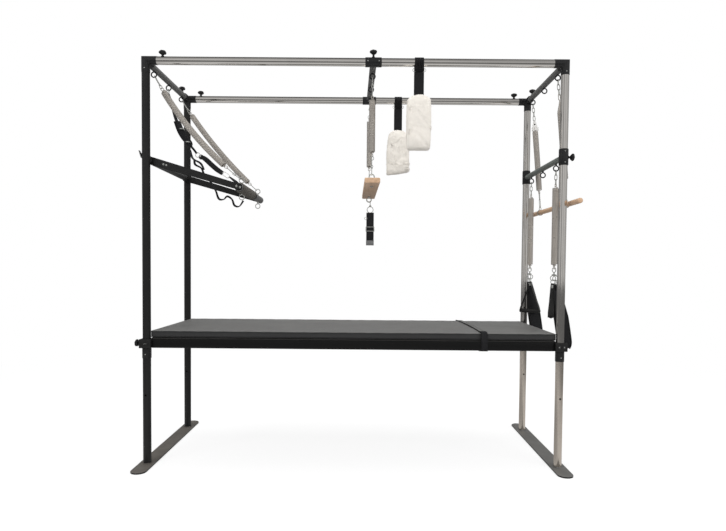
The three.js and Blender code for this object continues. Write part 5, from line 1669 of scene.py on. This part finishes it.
def add_cuff():
    """The ankle cuff: snap, ring, doubled webbing, two wire slides and a grey lined foot."""
    shape = Shape()
    low = BOARD_TOP - BOARD_THICK - 0.0064
    eye = at(MID_X, EYE_Y, low - EYE)
    ring_z = CUFF_TOP + 0.019
    shape.use(ZINC)
    snap_hook(shape, eye - UP * SEAT, at(MID_X, EYE_Y, ring_z + 0.0155), ALONG)
    shape.use(ZINC)
    shape.ring(at(MID_X, EYE_Y, ring_z), BACK, 0.019, 0.0044, 40, 12)
    path = teardrop_path(at(MID_X, EYE_Y, 0.0), CUFF_TOP, CUFF_LOW, CUFF_DEPTH, 56)
    strap(shape, path, CUFF_WIDTH, 0.003, ALONG, closed=True)
    outer = CUFF_DEPTH / 2
    for sign in (-1, 1):
        face = EYE_Y + sign * (outer - 0.001)
        shape.use(ZINC)
        for z in (1.318, 1.292):
            shape.box(at(MID_X - 0.0265, face - 0.0035, z - 0.0018),
                      at(MID_X + 0.0265, face + 0.0035, z + 0.0018), 0.0012, 2)
        for x in (-0.026, 0.026):
            shape.box(at(MID_X + x - 0.0018, face - 0.003, 1.291),
                      at(MID_X + x + 0.0018, face + 0.003, 1.319), 0.0012, 2)
    lining = teardrop_path(at(MID_X, EYE_Y, 0.0), CUFF_TOP - 0.0036, CUFF_LOW - 0.0016, CUFF_DEPTH + 0.0028,
                           56)
    foot = [p for p in lining if p.z < 1.234]
    foot.sort(key=lambda p: p.y)
    strap(shape, foot, CUFF_WIDTH + 0.002, 0.0028, ALONG, finish_used=GREY_CLOTH)
    shape.use(ZINC)
    shape.ring(at(MID_X - 0.027, EYE_Y - 0.006, 1.372), (0.0, 1.0, 0.0), 0.0085, 0.0026, 24, 8)
    shape.done("ankle_cuff_finished", "cuff", "webbing", "ankle_cuff", sharp=45.0)


add_push_bar()
add_mid_bar()
add_trapeze()

SLINGS = (
    # name, depth, x, fleece width, top, bottom, slant of the hem, taper towards the top, seed
    ("front", -1, 0.334, 0.134, 1.973, 1.681, 0.0, 0.06, 5.7),
    ("rear", 1, 0.264, 0.150, 1.954, 1.659, 0.30, 0.22, 8.6),
)
FLEECE_DEPTH = 0.09
FLEECE_WALL = 0.032
# Each fold of a fleece: its height and lean as shares of the loop, and its depth in metres.
FLEECE_FOLDS = ((0.52, 0.30, 0.0075), (0.14, -0.25, 0.006), (-0.28, 0.22, 0.007), (-0.62, -0.18, 0.005))
FLEECE_FOLD_WIDTH = 0.085
# Tufts on a square metre of fleece, and the radius of one.
TUFT_DENSITY = 52000.0
TUFT_SIZE = 0.0021


def add_slings():
    """Two straps over the rails, each with a loop of lambs' fleece."""
    for name, depth, x, width, top, bottom, slant, taper, seed in SLINGS:
        add_sling_strap(name, depth, x, top - 0.017)
        add_fleece(name, depth, x, width, top, bottom, slant, taper, seed)


def add_sling_strap(name, depth, x, low):
    """A strap gathered round the rail, two layers down to the fleece, with D rings and stitching."""
    shape = Shape()
    y = depth * POST_Y
    radius = TUBE / 2 + 0.0034
    path = []
    for i in range(41):
        a = math.radians(-28 + 236 * i / 40)
        path.append(at(x, y + radius * math.cos(a), RAIL_Z + radius * math.sin(a)))
    throat = RAIL_Z - 0.07
    left = smooth_path([path[-1], at(x, y - 0.0135, RAIL_Z - 0.036), at(x, y - 0.0034, throat),
                        at(x, y - 0.0024, low + 0.006)], 8)
    right = smooth_path([at(x, y + 0.0024, low + 0.006), at(x, y + 0.0034, throat),
                         at(x, y + 0.0135, RAIL_Z - 0.036), path[0]], 8)
    bottom = [at(x, y - 0.0022 * math.cos(a), low - 0.0012 * math.sin(a)) for a in (0.5, 1.57, 2.64)]
    whole = path + left[1:] + bottom + right[:-1]
    gather = [1.0 - 0.10 * max(0.0, (p.z - throat) / 0.09) for p in whole]
    strap(shape, whole, SLING_STRAP, 0.0026, ALONG, closed=True, widths=gather)
    # The webbing creases where it is drawn together under the rail.
    for step in range(5):
        across = (step - 2) * 0.0095
        crease = smooth_path([
            at(x + across * 1.1, y - 0.0215, RAIL_Z + 0.016), at(x + across, y - 0.0268, RAIL_Z - 0.002),
            at(x + across * 0.82, y - 0.0215, RAIL_Z - 0.022),
            at(x + across * 0.95, y - 0.0105, RAIL_Z - 0.046),
        ], 6)
        shape.use(WEBBING)
        shape.sweep(crease, circle(0.0021, 8), ALONG)
    shape.use(MOULDING)
    shape.box(at(x - 0.026, y - 0.0165, RAIL_Z - 0.05), at(x + 0.026, y - 0.0105, RAIL_Z - 0.036), 0.002, 2)
    for side in (-1, 1):
        shape.use(ZINC)
        centre = at(x + side * 0.026, y - 0.0125, RAIL_Z - 0.043)
        shape.ring(centre, BACK, 0.0085, 0.0026, 28, 10)
        edge = x + side * (SLING_STRAP / 2 - 0.0035)
        rows = [at(edge, y - 0.0048, z) for z in (throat - 0.004, low + 0.012)]
        stitches(shape, rows, 0.005, 0.0031, 0.00035)
    shape.done(f"sling_strap_{name}_finished", f"sling_{name}", "webbing", f"sling_strap_{name}", sharp=45.0)


def fleece_form(x, y, width, top, bottom, slant, taper, seed):
    """The bare fleece: a thick band bent into a loop, rounded, creased and lumpy."""
    middle = (top + bottom) / 2
    half_z = (top - bottom - FLEECE_WALL) / 2
    half_y = (FLEECE_DEPTH - FLEECE_WALL) / 2
    shape = Shape()
    shape.use(FLEECE)
    path = []
    for i in range(64):
        a = math.tau * i / 64
        c, s = math.cos(a), math.sin(a)
        path.append(at(x, y + half_y * math.copysign(abs(c) ** 0.5, c),
                       middle + half_z * math.copysign(abs(s) ** 0.5, s)))
    shape.sweep(path, rounded_rectangle(width, FLEECE_WALL, FLEECE_WALL * 0.46, 5), ALONG, closed=True)
    mesh = loose_mesh(shape)
    mesh = solved(mesh, ("REMESH", {"mode": "VOXEL", "voxel_size": 0.0052}),
                  ("SMOOTH", {"factor": 0.6, "iterations": 6}))
    centre = at(x, y, middle)
    for vertex in mesh.vertices:
        p = vertex.co
        share_x = (p.x - centre.x) / (width / 2)
        share_z = (p.z - centre.z) / ((top - bottom) / 2)
        outward = vertex.normal.copy()
        lump = noise.fractal(Vector((p.x * 16 + seed, p.y * 16, p.z * 15)), 0.6, 2.0, 3)
        fine = noise.fractal(Vector((p.x * 70, p.y * 70 + seed, p.z * 70)), 0.7, 2.0, 3)
        dent = 0.0
        for height, lean, deep in FLEECE_FOLDS:
            line = share_z - height - lean * share_x + 0.16 * math.sin(share_x * 2.6 + seed)
            uneven = 0.65 + 0.35 * noise.noise(Vector((share_x * 2.2, seed, height)))
            dent -= deep * math.exp(-(line / FLEECE_FOLD_WIDTH) ** 2) * uneven
        side_wear = max(0.0, abs(share_x) - 0.6)
        calm = 1.0 - min(1.0, side_wear * 2.4) * 0.8
        p += outward * ((lump * 0.0042 + dent) * calm + fine * 0.0007 - 0.0030 - side_wear * 0.003)
        narrow = 1.0 - taper * max(0.0, share_z) ** 1.4 - (0.05 if slant == 0.0 else 0.0) * max(0.0, -share_z)
        p.x = centre.x + (p.x - centre.x) * narrow
        if slant:
            p.z += slant * max(0.0, -share_z) ** 2 * (p.x - centre.x + width / 2 * 0.9) * 0.5
        round_top = max(0.0, share_z - 0.55) ** 2 * abs(share_x) ** 2.2
        p.z -= round_top * 0.13
    return mesh


def add_fleece(name, depth, x, width, top, bottom, slant, taper, seed):
    """The fleece with its wool tufts."""
    skin = fleece_form(x, depth * POST_Y, width, top, bottom, slant, taper, seed)
    whole = grown(TUFT_TREE, skin, Density=TUFT_DENSITY, Tuft=TUFT_SIZE, Seed=int(seed * 10), Finish=FLEECE)
    shape = Shape()
    shape.add_mesh(whole, Matrix.Identity(4), FLEECE)
    piece = shape.done(f"sling_fleece_{name}_finished", f"sling_{name}_pad", "fleece", f"sling_fleece_{name}",
                       sharp=180.0, tidy_normals=False)


def add_sliding_bar():
    """The bar that slides on the right posts, with sleeves, eyes and its clamp knob."""
    shape = Shape()
    half = POST_Y - TUBE / 2 - 0.0014
    shape.use(SLIDING_STEEL)
    shape.tube(at(POST_X, -half, SLIDING_Z), at(POST_X, half, SLIDING_Z), SLIDING_BAR, TUBE_WALL, 48)
    for _, depth in DEPTHS:
        add_slider(shape, at(POST_X, depth * POST_Y, SLIDING_Z), UP, BACK * depth)
    for place in (-1, 0, 1):
        eye_on(shape, at(POST_X, place * EYE_Y, SLIDING_Z), -SLIDING_EYE_DROP)
    shape.done("sliding_crossbar_finished", "sliding_bar", "bar_steel", "sliding_crossbar")
    seat = at(POST_X + SLIDER / 2, -POST_Y, SLIDING_Z)
    add_knob("sliding_knob", seat, ALONG)


ROLL_BOW = 0.003


def add_roll_down():
    """A beech dowel on two springs, each spring ending in a wire hoop round the dowel."""
    low = at(ROLL_X, 0.0, ROLL_Z)
    shape = Shape()
    shape.use(BEECH)
    half = ROLL_LENGTH / 2
    profile = [(0.0, 0.0), (0.0, 0.0075), (0.0012, 0.0108), (0.0035, 0.0128), (0.007, 0.0139),
               (0.010, ROLL_BAR / 2),
               (ROLL_LENGTH - 0.010, ROLL_BAR / 2), (ROLL_LENGTH - 0.007, 0.0139),
               (ROLL_LENGTH - 0.0035, 0.0128),
               (ROLL_LENGTH - 0.0012, 0.0108), (ROLL_LENGTH, 0.0075), (ROLL_LENGTH, 0.0)]
    shape.lathe(low - BACK * half, low + BACK * half, profile, 48)
    shape.done("roll_down_bar_finished", "roll_down", "beech", "roll_down_bar", sharp=50.0)
    hoop = ROLL_BAR / 2 + 0.003
    for depth_name, depth in DEPTHS:
        shape = Shape()
        y = depth * EYE_Y
        eye, end = at(POST_X, y, RAIL_Z - EYE_DROP), at(ROLL_X, y, ROLL_Z)
        run = (end - eye).normalized()
        length = (end - eye).length
        start, stop = eye + run * 0.18, eye + run * (length - 0.139)
        shape.use(NICKEL)
        coil_between(shape, start, stop)
        shape.use(ZINC)
        if depth > 0:
            chain(shape, eye + run * SEAT, start - run * 0.062, 4, run.cross(BACK))
            add_bracket(shape, start - run * 0.068, start - run * 0.008, run)
        else:
            chain(shape, eye + run * SEAT, start - run * 0.085, 3, run.cross(BACK))
            shape.use(NICKEL)
            shape.lathe(start - run * 0.062, start + run * 0.002, [
                (0.0, 0.0018), (0.012, 0.0036), (0.035, 0.0088), (0.064, COIL / 2 - 0.001), (0.066, 0.004),
            ], 28)
            shape.link(start - run * 0.094, start - run * 0.058, 0.014, LINK_WIRE, BACK)
        shape.use(ZINC)
        ring_top = end - run * hoop
        snap_hook(shape, ring_top - run * 0.07, ring_top + run * 0.004, ALONG)
        chain(shape, stop + run * 0.012, ring_top - run * 0.062, 1, run.cross(BACK))
        shape.ring(end, BACK, hoop, 0.0038, 48, 12)
        shape.ring(end + BACK * 0.0042, BACK, hoop, 0.0038, 48, 12)
        # The coil bows a little outwards, clear of the sliding bar at its highest.
        bow(shape, eye, end, ALONG * ROLL_BOW)
        shape.done(f"roll_spring_{depth_name}_finished", "roll_down", "spring_steel",
                   f"roll_spring_{depth_name}")


def add_bracket(shape, tip, base, run):
    """A small pressed triangle that holds the end of a coil."""
    across = run.cross(BACK).normalized()
    length = (base - tip).length
    shape.use(WHITE_PLATE)
    outline = [(-0.002, -0.0035), (-0.002, 0.0035), (length * 0.5, 0.0125), (length + 0.004, 0.0185),
               (length + 0.004, -0.0185), (length * 0.5, -0.0125)]
    shape.plate(outline, tip, 0.0036, run, across, 0.0006, 1)
    shape.plate(
        [(length - 0.014, -0.0185), (length - 0.014, 0.0185), (length + 0.006, 0.0185),
         (length + 0.006, -0.0185)],
        tip - BACK * 0.0025, 0.0105, run, across, 0.001, 2,
    )
    # A dark disc for the bracket's hole: painted shade.
    shape.use(PAINTED_SHADE_BLACK)
    shape.rod(tip + run * (length * 0.42) - BACK * 0.0024, tip + run * (length * 0.42) + BACK * 0.0024,
              0.0085, 20, 0.0002)


def add_handles():
    """Handle springs under the sliding bar with their pull handles and foot loops."""
    for depth_name, depth in DEPTHS:
        y = depth * EYE_Y
        handle_y, loop_y = depth * (EYE_Y - 0.016), depth * (EYE_Y + 0.022)
        shape = Shape()
        eye = at(POST_X, y, SLIDING_Z - SLIDING_EYE_DROP)
        top, low = at(POST_X, y, HANDLE_COIL[0]), at(POST_X, y, HANDLE_COIL[1])
        shape.use(ZINC)
        chain(shape, eye - UP * SEAT, top + UP * 0.014, 3, ALONG)
        shape.use(NICKEL)
        coil_between(shape, top, low)
        spread_z = HANDLE_EYE_Z + EYE + EYE_WIRE / 2
        shape.use(ZINC)
        snap_hook(shape, low - UP * 0.0125, at(POST_X, y, spread_z - 0.001), BACK)
        sides = sorted((handle_y, loop_y))
        shape.rod(at(POST_X, sides[0] - 0.009, spread_z), at(POST_X, sides[1] + 0.009, spread_z), 0.009, 24,
                  0.0012)
        for place in (handle_y, loop_y):
            shape.ring(at(POST_X, place, HANDLE_EYE_Z), BACK, EYE, 0.0046, 32, 12)
        shape.done(f"handle_spring_{depth_name}_finished", f"handle_{depth_name}", "spring_steel",
                   f"handle_spring_{depth_name}")
        add_pull_handle(depth_name, handle_y)
        add_foot_loop(depth_name, loop_y)


# How far each handle hangs turned about its own snap, in degrees, and how far its grip hangs.
HANDLES = {"front": (64.0, 0.206), "rear": (-34.0, 0.214)}


def add_pull_handle(depth_name, y):
    """A padded grip held by a triangle of doubled webbing."""
    shape = Shape()
    turn, hang_by = HANDLES[depth_name]
    grip_z, half = HANDLE_EYE_Z - hang_by, 0.0645
    apex = HANDLE_EYE_Z - 0.031
    shape.use(ZINC)
    chain(shape, at(POST_X, y, HANDLE_EYE_Z - SEAT), at(POST_X, y, apex - 0.004), 1, ALONG, 0.026)
    for side in (-1, 1):
        path = smooth_path([
            at(POST_X + side * 0.001, y, apex + 0.002), at(POST_X + side * 0.010, y, apex - 0.030),
            at(POST_X + side * 0.034, y, apex - 0.100), at(POST_X + side * 0.0545, y, grip_z + 0.026),
            at(POST_X + side * 0.0585, y, grip_z + 0.004), at(POST_X + side * 0.0585, y, grip_z - 0.008),
        ], 8)
        count = len(path)
        widths = [0.62 + 0.38 * min(1.0, i / (count * 0.6)) for i in range(count)]
        strap(shape, path, 0.033, 0.0036, BACK, widths=widths, finish_used=LEATHER)
        rows = [p + ALONG * (side * 0.0019) + BACK * 0.007 for p in path[6:-6]]
        stitches(shape, rows, 0.0046, 0.0029, 0.00035, LEATHER)
    shape.use(LEATHER)
    shape.box(at(POST_X - 0.0105, y - 0.009, apex - 0.026), at(POST_X + 0.0105, y + 0.009, apex - 0.004),
              0.0025, 3)
    profile = [(0.0, 0.0), (0.0, 0.0085), (0.0012, 0.0112), (0.004, 0.0122), (0.012, 0.0125)]
    for step in range(1, 24):
        place = 0.012 + (2 * half - 0.024) * step / 24
        profile.append((place, 0.0125 + 0.0004 * math.sin(step * 2.1)))
    profile += [(2 * half - 0.012, 0.0125), (2 * half - 0.004, 0.0122), (2 * half - 0.0012, 0.0112),
                (2 * half, 0.0085), (2 * half, 0.0)]
    shape.lathe(at(POST_X - half, y, grip_z), at(POST_X + half, y, grip_z), profile, 40)
    rows = [at(POST_X + x, y, grip_z - 0.0127) for x in (-half + 0.014, half - 0.014)]
    stitches(shape, rows, 0.0052, 0.0032, 0.0004, LEATHER)
    # Dark discs in the grip's ends for its bore: painted shade.
    shape.use(PAINTED_SHADE_BLACK)
    for side in (-1, 1):
        seat = at(POST_X + side * (half - 0.0002), y, grip_z)
        shape.rod(seat, seat + ALONG * (side * 0.0004), 0.011, 24, 0.0001)
    swing = Matrix.Rotation(math.radians(turn), 4, "Z")
    hub = at(POST_X, y, 0.0)
    for vertex in shape.mesh.verts:
        vertex.co = hub + swing @ (vertex.co - hub)
    shape.done(f"pull_handle_{depth_name}_finished", f"handle_{depth_name}", "webbing",
               f"pull_handle_{depth_name}",
               sharp=45.0)


def add_foot_loop(depth_name, y):
    """A long padded loop of wide webbing that leans outwards."""
    shape = Shape()
    lean = math.radians(9.4)
    top, low, depth = -0.034, -0.39, 0.044
    path = teardrop_path(at(POST_X, y, HANDLE_EYE_Z), top, low, depth, 72, neck=0.42, lean=lean)
    widths = []
    for p in path:
        drop = (HANDLE_EYE_Z - p.z) / math.cos(lean)
        share = min(1.0, max(0.0, (drop + top) / (-low + top) * 2))
        round_off = max(0.0, (drop - 0.345) / 0.045)
        widths.append((0.026 + 0.041 * share) / 0.067 * (1 - 0.34 * min(1.0, round_off) ** 2))
    strap(shape, path, 0.067, 0.004, ALONG, closed=True, widths=widths)
    # A raised edge binding on both edges.
    for side in (-1, 1):
        edge = [p + ALONG * (side * 0.067 / 2 * w) for p, w in zip(path, widths)]
        shape.use(LEATHER)
        shape.sweep(edge, circle(0.0026, 8), ALONG, closed=True)
        inner = [p + ALONG * (side * (0.067 / 2 * w - 0.006)) - BACK * 0.0024 for p,
                 w in zip(path[40:66], widths[40:66])]
        stitches(shape, inner, 0.005, 0.003, 0.00035)
    run = Vector((math.sin(lean), 0.0, -math.cos(lean)))
    eye = at(POST_X, y, HANDLE_EYE_Z)
    shape.use(ZINC)
    chain(shape, eye + run * SEAT, eye + run * 0.04, 1, ALONG, 0.026)
    shape.use(WEBBING)
    neck = eye + run * 0.052
    shape.box(neck - Vector((0.0145, 0.0105, 0.012)), neck + Vector((0.0145, 0.0105, 0.012)), 0.003, 3)
    shape.done(f"foot_loop_{depth_name}_finished", f"foot_loop_{depth_name}_body", "webbing",
               f"foot_loop_{depth_name}",
               sharp=45.0)


add_slings()
add_sliding_bar()
add_roll_down()
add_handles()

PAD_SIDE_RADIUS = 0.0095
PAD_SWELL = 0.0022
PAD_START_INSET = 0.0018
PAD_CLOTH_FRAMES = 20
PAD_CELL = 0.0145


def crown_share(length_share, width_share):
    """How much of the crown the pad has at a place on its top."""
    return max(0.0, 1 - abs(length_share) ** 8) * max(0.0, 1 - abs(width_share) ** 3)


def add_deck():
    """The thin board that the pad lies on."""
    shape = Shape()
    shape.use(PLYWOOD)
    outline = rounded_rectangle(DECK_LENGTH, DECK_WIDTH, 0.012, 5)
    middle = at(0.0, 0.0, DECK_LOW + DECK_THICK / 2)
    shape.plate(outline, middle, DECK_THICK - 0.0002, ALONG, BACK, 0.0009, 2)
    shape.done("bed_board_finished", "frame", "plywood", "bed_board")


def spaced(half):
    """Places from one edge to the other, closer together near the edges."""
    near = [0.0, 0.0022, 0.0048, 0.0075, PAD_SIDE_RADIUS]
    inner = half - PAD_SIDE_RADIUS
    count = max(2, round(2 * inner / PAD_CELL))
    middle = [-inner + 2 * inner * i / count for i in range(1, count)]
    return [-half + step for step in near] + middle + [half - step for step in reversed(near)]


def pad_shell():
    """The pad before it swells: a box with rounded edges, a crowned top and sides that draw in."""
    half = Vector((PAD_LENGTH / 2 - PAD_START_INSET, PAD_WIDTH / 2 - PAD_START_INSET, PAD_EDGE / 2 - 0.0005))
    rows = (spaced(half.x), spaced(half.y), spaced(half.z))
    last = [len(row) - 1 for row in rows]
    known, points = {}, []

    def corner(i, j, k):
        if (i, j, k) not in known:
            place = Vector((rows[0][i], rows[1][j], rows[2][k]))
            inner = Vector(tuple(max(-h + PAD_SIDE_RADIUS, min(h - PAD_SIDE_RADIUS, v)) for v,
                                 h in zip(place, half)))
            outward = place - inner
            if outward.length > 0:
                place = inner + outward.normalized() * PAD_SIDE_RADIUS
            share = 0.5 + place.z / half.z / 2
            place.z += PAD_CROWN * share * crown_share(place.x / half.x, place.y / half.y)
            known[(i, j, k)] = len(points)
            points.append(at(place.x, place.y, place.z + PAD_LOW + PAD_EDGE / 2))
        return known[(i, j, k)]

    faces = []
    for side in (0, 1):
        k = side * last[2]
        for i in range(last[0]):
            for j in range(last[1]):
                quad = (corner(i, j, k), corner(i + 1, j, k), corner(i + 1, j + 1, k), corner(i, j + 1, k))
                faces.append(quad if side else quad[::-1])
        j = side * last[1]
        for i in range(last[0]):
            for k in range(last[2]):
                quad = (corner(i, j, k), corner(i + 1, j, k), corner(i + 1, j, k + 1), corner(i, j, k + 1))
                faces.append(quad[::-1] if side else quad)
        i = side * last[0]
        for j in range(last[1]):
            for k in range(last[2]):
                quad = (corner(i, j, k), corner(i, j + 1, k), corner(i, j + 1, k + 1), corner(i, j, k + 1))
                faces.append(quad if side else quad[::-1])
    mesh = bpy.data.meshes.new("pad_shell")
    mesh.from_pydata([tuple(p) for p in points], [], faces)
    return mesh


def swollen(mesh):
    start = [vertex.co.copy() for vertex in mesh.vertices]
    scene = bpy.context.scene
    cushion = bpy.data.objects.new("pad_cloth", mesh)
    scene.collection.objects.link(cushion)
    cloth = cushion.modifiers.new("cloth", "CLOTH")
    cloth.settings.use_pressure = True
    cloth.settings.uniform_pressure_force = 4.0
    cloth.settings.effector_weights.gravity = 0.0
    cloth.settings.quality = 5
    cloth.point_cache.frame_start = 1
    cloth.point_cache.frame_end = PAD_CLOTH_FRAMES
    for frame_number in range(1, PAD_CLOTH_FRAMES + 1):
        scene.frame_set(frame_number)
    solved_pad = cushion.evaluated_get(bpy.context.evaluated_depsgraph_get())
    moved = [vertex.co.copy() for vertex in solved_pad.data.vertices]
    bpy.data.objects.remove(cushion)
    scene.frame_set(1)
    for vertex, place, first in zip(mesh.vertices, moved, start):
        step = place - first
        if step.length > PAD_SWELL:
            step = step.normalized() * PAD_SWELL
        vertex.co = first + step
    return mesh


def add_pad():
    """The upholstered pad: vinyl top painted lighter with sheen, darker sides painted with shade, sewn seams
    and creases, held down by the belt.
    """
    mesh = swollen(pad_shell())
    for vertex in mesh.vertices:
        p = vertex.co
        y_share = p.y / (PAD_WIDTH / 2)
        x_share = (p.x - SHIFT) / (PAD_LENGTH / 2)
        if p.z > PAD_LOW + PAD_EDGE * 0.6:
            # Soft waves in the foam, and fine puckers close to the seam.
            wave = noise.noise(Vector((p.x * 2.6, p.y * 3.4, 1.7))) * 0.0011
            edge = max(0.0, abs(y_share) - 0.82) / 0.18
            pucker = math.sin(p.x * 61.0 + 2.0 * noise.noise(Vector((p.x * 5.0, 0.0, 0.0)))) * 0.00045 * edge
            p.z += wave + pucker
        top = PAD_LOW + PAD_EDGE + PAD_CROWN * crown_share(x_share, y_share)
        press = math.exp(-((p.x - belt_x(p.y)) / (BELT_WIDTH * 0.9)) ** 4)
        p.z = min(p.z, top + PAD_SWELL * (1 - press) - 0.0002 * press)
        p.z = max(p.z, PAD_LOW + 0.0002)
        if abs(p.x - belt_x(p.y)) < BELT_WIDTH:
            side = PAD_WIDTH / 2 - 0.0005
            p.y = max(-side, min(side, p.y))
    mesh.update()
    mesh = solved(mesh, ("SUBSURF", {"levels": 1, "render_levels": 1}))
    mesh.materials.clear()
    mesh.materials.append(VINYL_TOP_PAINTED_SHEEN)
    mesh.materials.append(VINYL_SIDES_PAINTED_SHADE)
    # Upward faces take the lighter vinyl, painted sheen; the rest take the darker copy, painted shade.
    for face in mesh.polygons:
        face.material_index = 0 if face.normal.z > 0.62 and face.center.z > PAD_LOW + PAD_EDGE * 0.5 else 1
    shape = Shape()
    shape.use(VINYL_TOP_PAINTED_SHEEN)
    shape.use(VINYL_SIDES_PAINTED_SHADE)
    shape.mesh.from_mesh(mesh)
    add_pad_seams(shape)
    piece = shape.done("mattress_pad_finished", "frame", "vinyl", "mattress_pad", sharp=60.0)


def seam_path(inset, z, radius):
    """The outline of the pad at a height, as a closed line."""
    half_x, half_y = PAD_LENGTH / 2 - inset, PAD_WIDTH / 2 - inset
    corners = rounded_rectangle(half_x * 2, half_y * 2, radius, 6)
    path = []
    for i, (x, y) in enumerate(corners):
        u, v = corners[(i + 1) % len(corners)]
        steps = max(1, int(math.hypot(u - x, v - y) / 0.03))
        for step in range(steps):
            s = step / steps
            path.append(at(x + (u - x) * s, y + (v - y) * s, z))
    return path


def add_pad_seams(shape):
    """The sewn line under the top edge with its stitches, and the seams down the corners."""
    # The seams, stitches and corner seams take the sides' darker vinyl, painted with shade.
    for z, inset, thick in ((PAD_LOW + PAD_EDGE - 0.0052, 0.0002, 0.0011),
                            (PAD_LOW + 0.0042, 0.0002, 0.0012)):
        shape.use(VINYL_SIDES_PAINTED_SHADE)
        shape.sweep(seam_path(inset, z, PAD_SIDE_RADIUS), circle(thick, 6), UP, closed=True)
    stitches(shape, seam_path(-0.0008, PAD_LOW + PAD_EDGE - 0.0082, PAD_SIDE_RADIUS), 0.0068, 0.0042,
             0.0003, VINYL_SIDES_PAINTED_SHADE)
    for side in (-1, 1):
        for depth in (-1, 1):
            corner = Vector((side * (PAD_LENGTH / 2 - 0.0032), depth * (PAD_WIDTH / 2 - 0.0032), 0.0))
            shape.use(VINYL_SIDES_PAINTED_SHADE)
            shape.rod(at(corner.x, corner.y, PAD_LOW + 0.004),
                      at(corner.x, corner.y, PAD_LOW + PAD_EDGE - 0.004), 0.002, 8, 0.0004)


def belt_x(y):
    """Where the belt runs at a depth: it lies slightly askew over the pad."""
    return SHIFT + BELT_X + BELT_ASKEW[0] - BELT_ASKEW[1] * y


def add_belt():
    """The webbing belt round pad, deck and frame, with a doubled sewn end and a slide underneath."""
    shape = Shape()
    half = POST_Y + BED_RAIL_WIDTH / 2 + 0.0003 + BELT_THICK / 2
    bottom = BED_LOW - 0.0003 - BELT_THICK / 2
    path = [at(BELT_X, half, bottom), at(BELT_X, 0.0, bottom), at(BELT_X, -half, bottom),
            at(BELT_X, -half, PAD_LOW - 0.03),
            at(BELT_X, -half, PAD_LOW)]
    for i in range(41):
        share = -1 + 2 * i / 40
        z = PAD_LOW + PAD_EDGE + 0.0006 + BELT_THICK / 2 + PAD_CROWN * crown_share(0.0,
            share) + BELT_THICK * (1 - abs(share))
        path.append(at(BELT_X, share * PAD_WIDTH / 2, z))
    path += [at(BELT_X, half, PAD_LOW), at(BELT_X, half, PAD_LOW - 0.03)]
    strap(shape, path, BELT_WIDTH, BELT_THICK, ALONG, closed=True)
    # The belt's upward faces over the pad take the lighter copy: painted light on its top.
    shape.repaint(0, BELT_WEBBING_PAINTED_LIT_TOP,
                  lambda face: face.normal.z > 0.7 and face.calc_center_median().z > PAD_LOW + PAD_EDGE)
    on_top = [p for p in path if p.z > PAD_LOW + PAD_EDGE]
    # A near-black rib along the belt's left edge over the pad: painted shadow.
    shape.use(PAINTED_SHADE_BLACK)
    edge = [p - ALONG * (BELT_WIDTH / 2 - 0.0012) + UP * (BELT_THICK * 0.25) for p in on_top]
    shape.sweep(edge, circle(0.0026, 8), ALONG)
    front = -half - BELT_THICK / 2
    # The doubled end down the front, with its sewn box and cross.
    edge_z = PAD_LOW + PAD_EDGE
    lap = [at(BELT_X, -PAD_WIDTH / 2 + 0.034, edge_z + 0.0062),
           at(BELT_X, -PAD_WIDTH / 2 + 0.012, edge_z + 0.0050),
           at(BELT_X, -PAD_WIDTH / 2 - 0.0026, edge_z + 0.0008), at(BELT_X, front + 0.0004, PAD_LOW + 0.004),
           at(BELT_X, front - 0.0008, PAD_LOW - 0.012), at(BELT_X, front - 0.0008, BED_LOW + 0.006)]
    strap(shape, smooth_path(lap, 6), BELT_WIDTH - 0.002, 0.0022, ALONG)
    face = front - 0.0021
    left, right, low, high = BELT_X - 0.0125, BELT_X + 0.0125, BED_LOW + 0.012, BED_LOW + 0.04
    box = [at(left, face, low), at(right, face, low), at(right, face, high), at(left, face, high)]
    for first, second in ((0, 1), (1, 2), (2, 3), (3, 0), (0, 2), (1, 3)):
        stitches(shape, [box[first], box[second]], 0.0038, 0.0024, 0.00035)
    shape.use(MOULDING)
    shape.box(at(BELT_X - 0.024, -half + 0.020, bottom - 0.0042),
              at(BELT_X + 0.024, -half + 0.046, bottom - 0.0008), 0.0016, 2)
    for vertex in shape.mesh.verts:
        vertex.co.x += belt_x(vertex.co.y) - belt_x(0.0) + BELT_ASKEW[0]
    shape.done("bed_belt_finished", "frame", "webbing", "bed_belt", sharp=45.0)


add_deck()
add_pad()
add_belt()
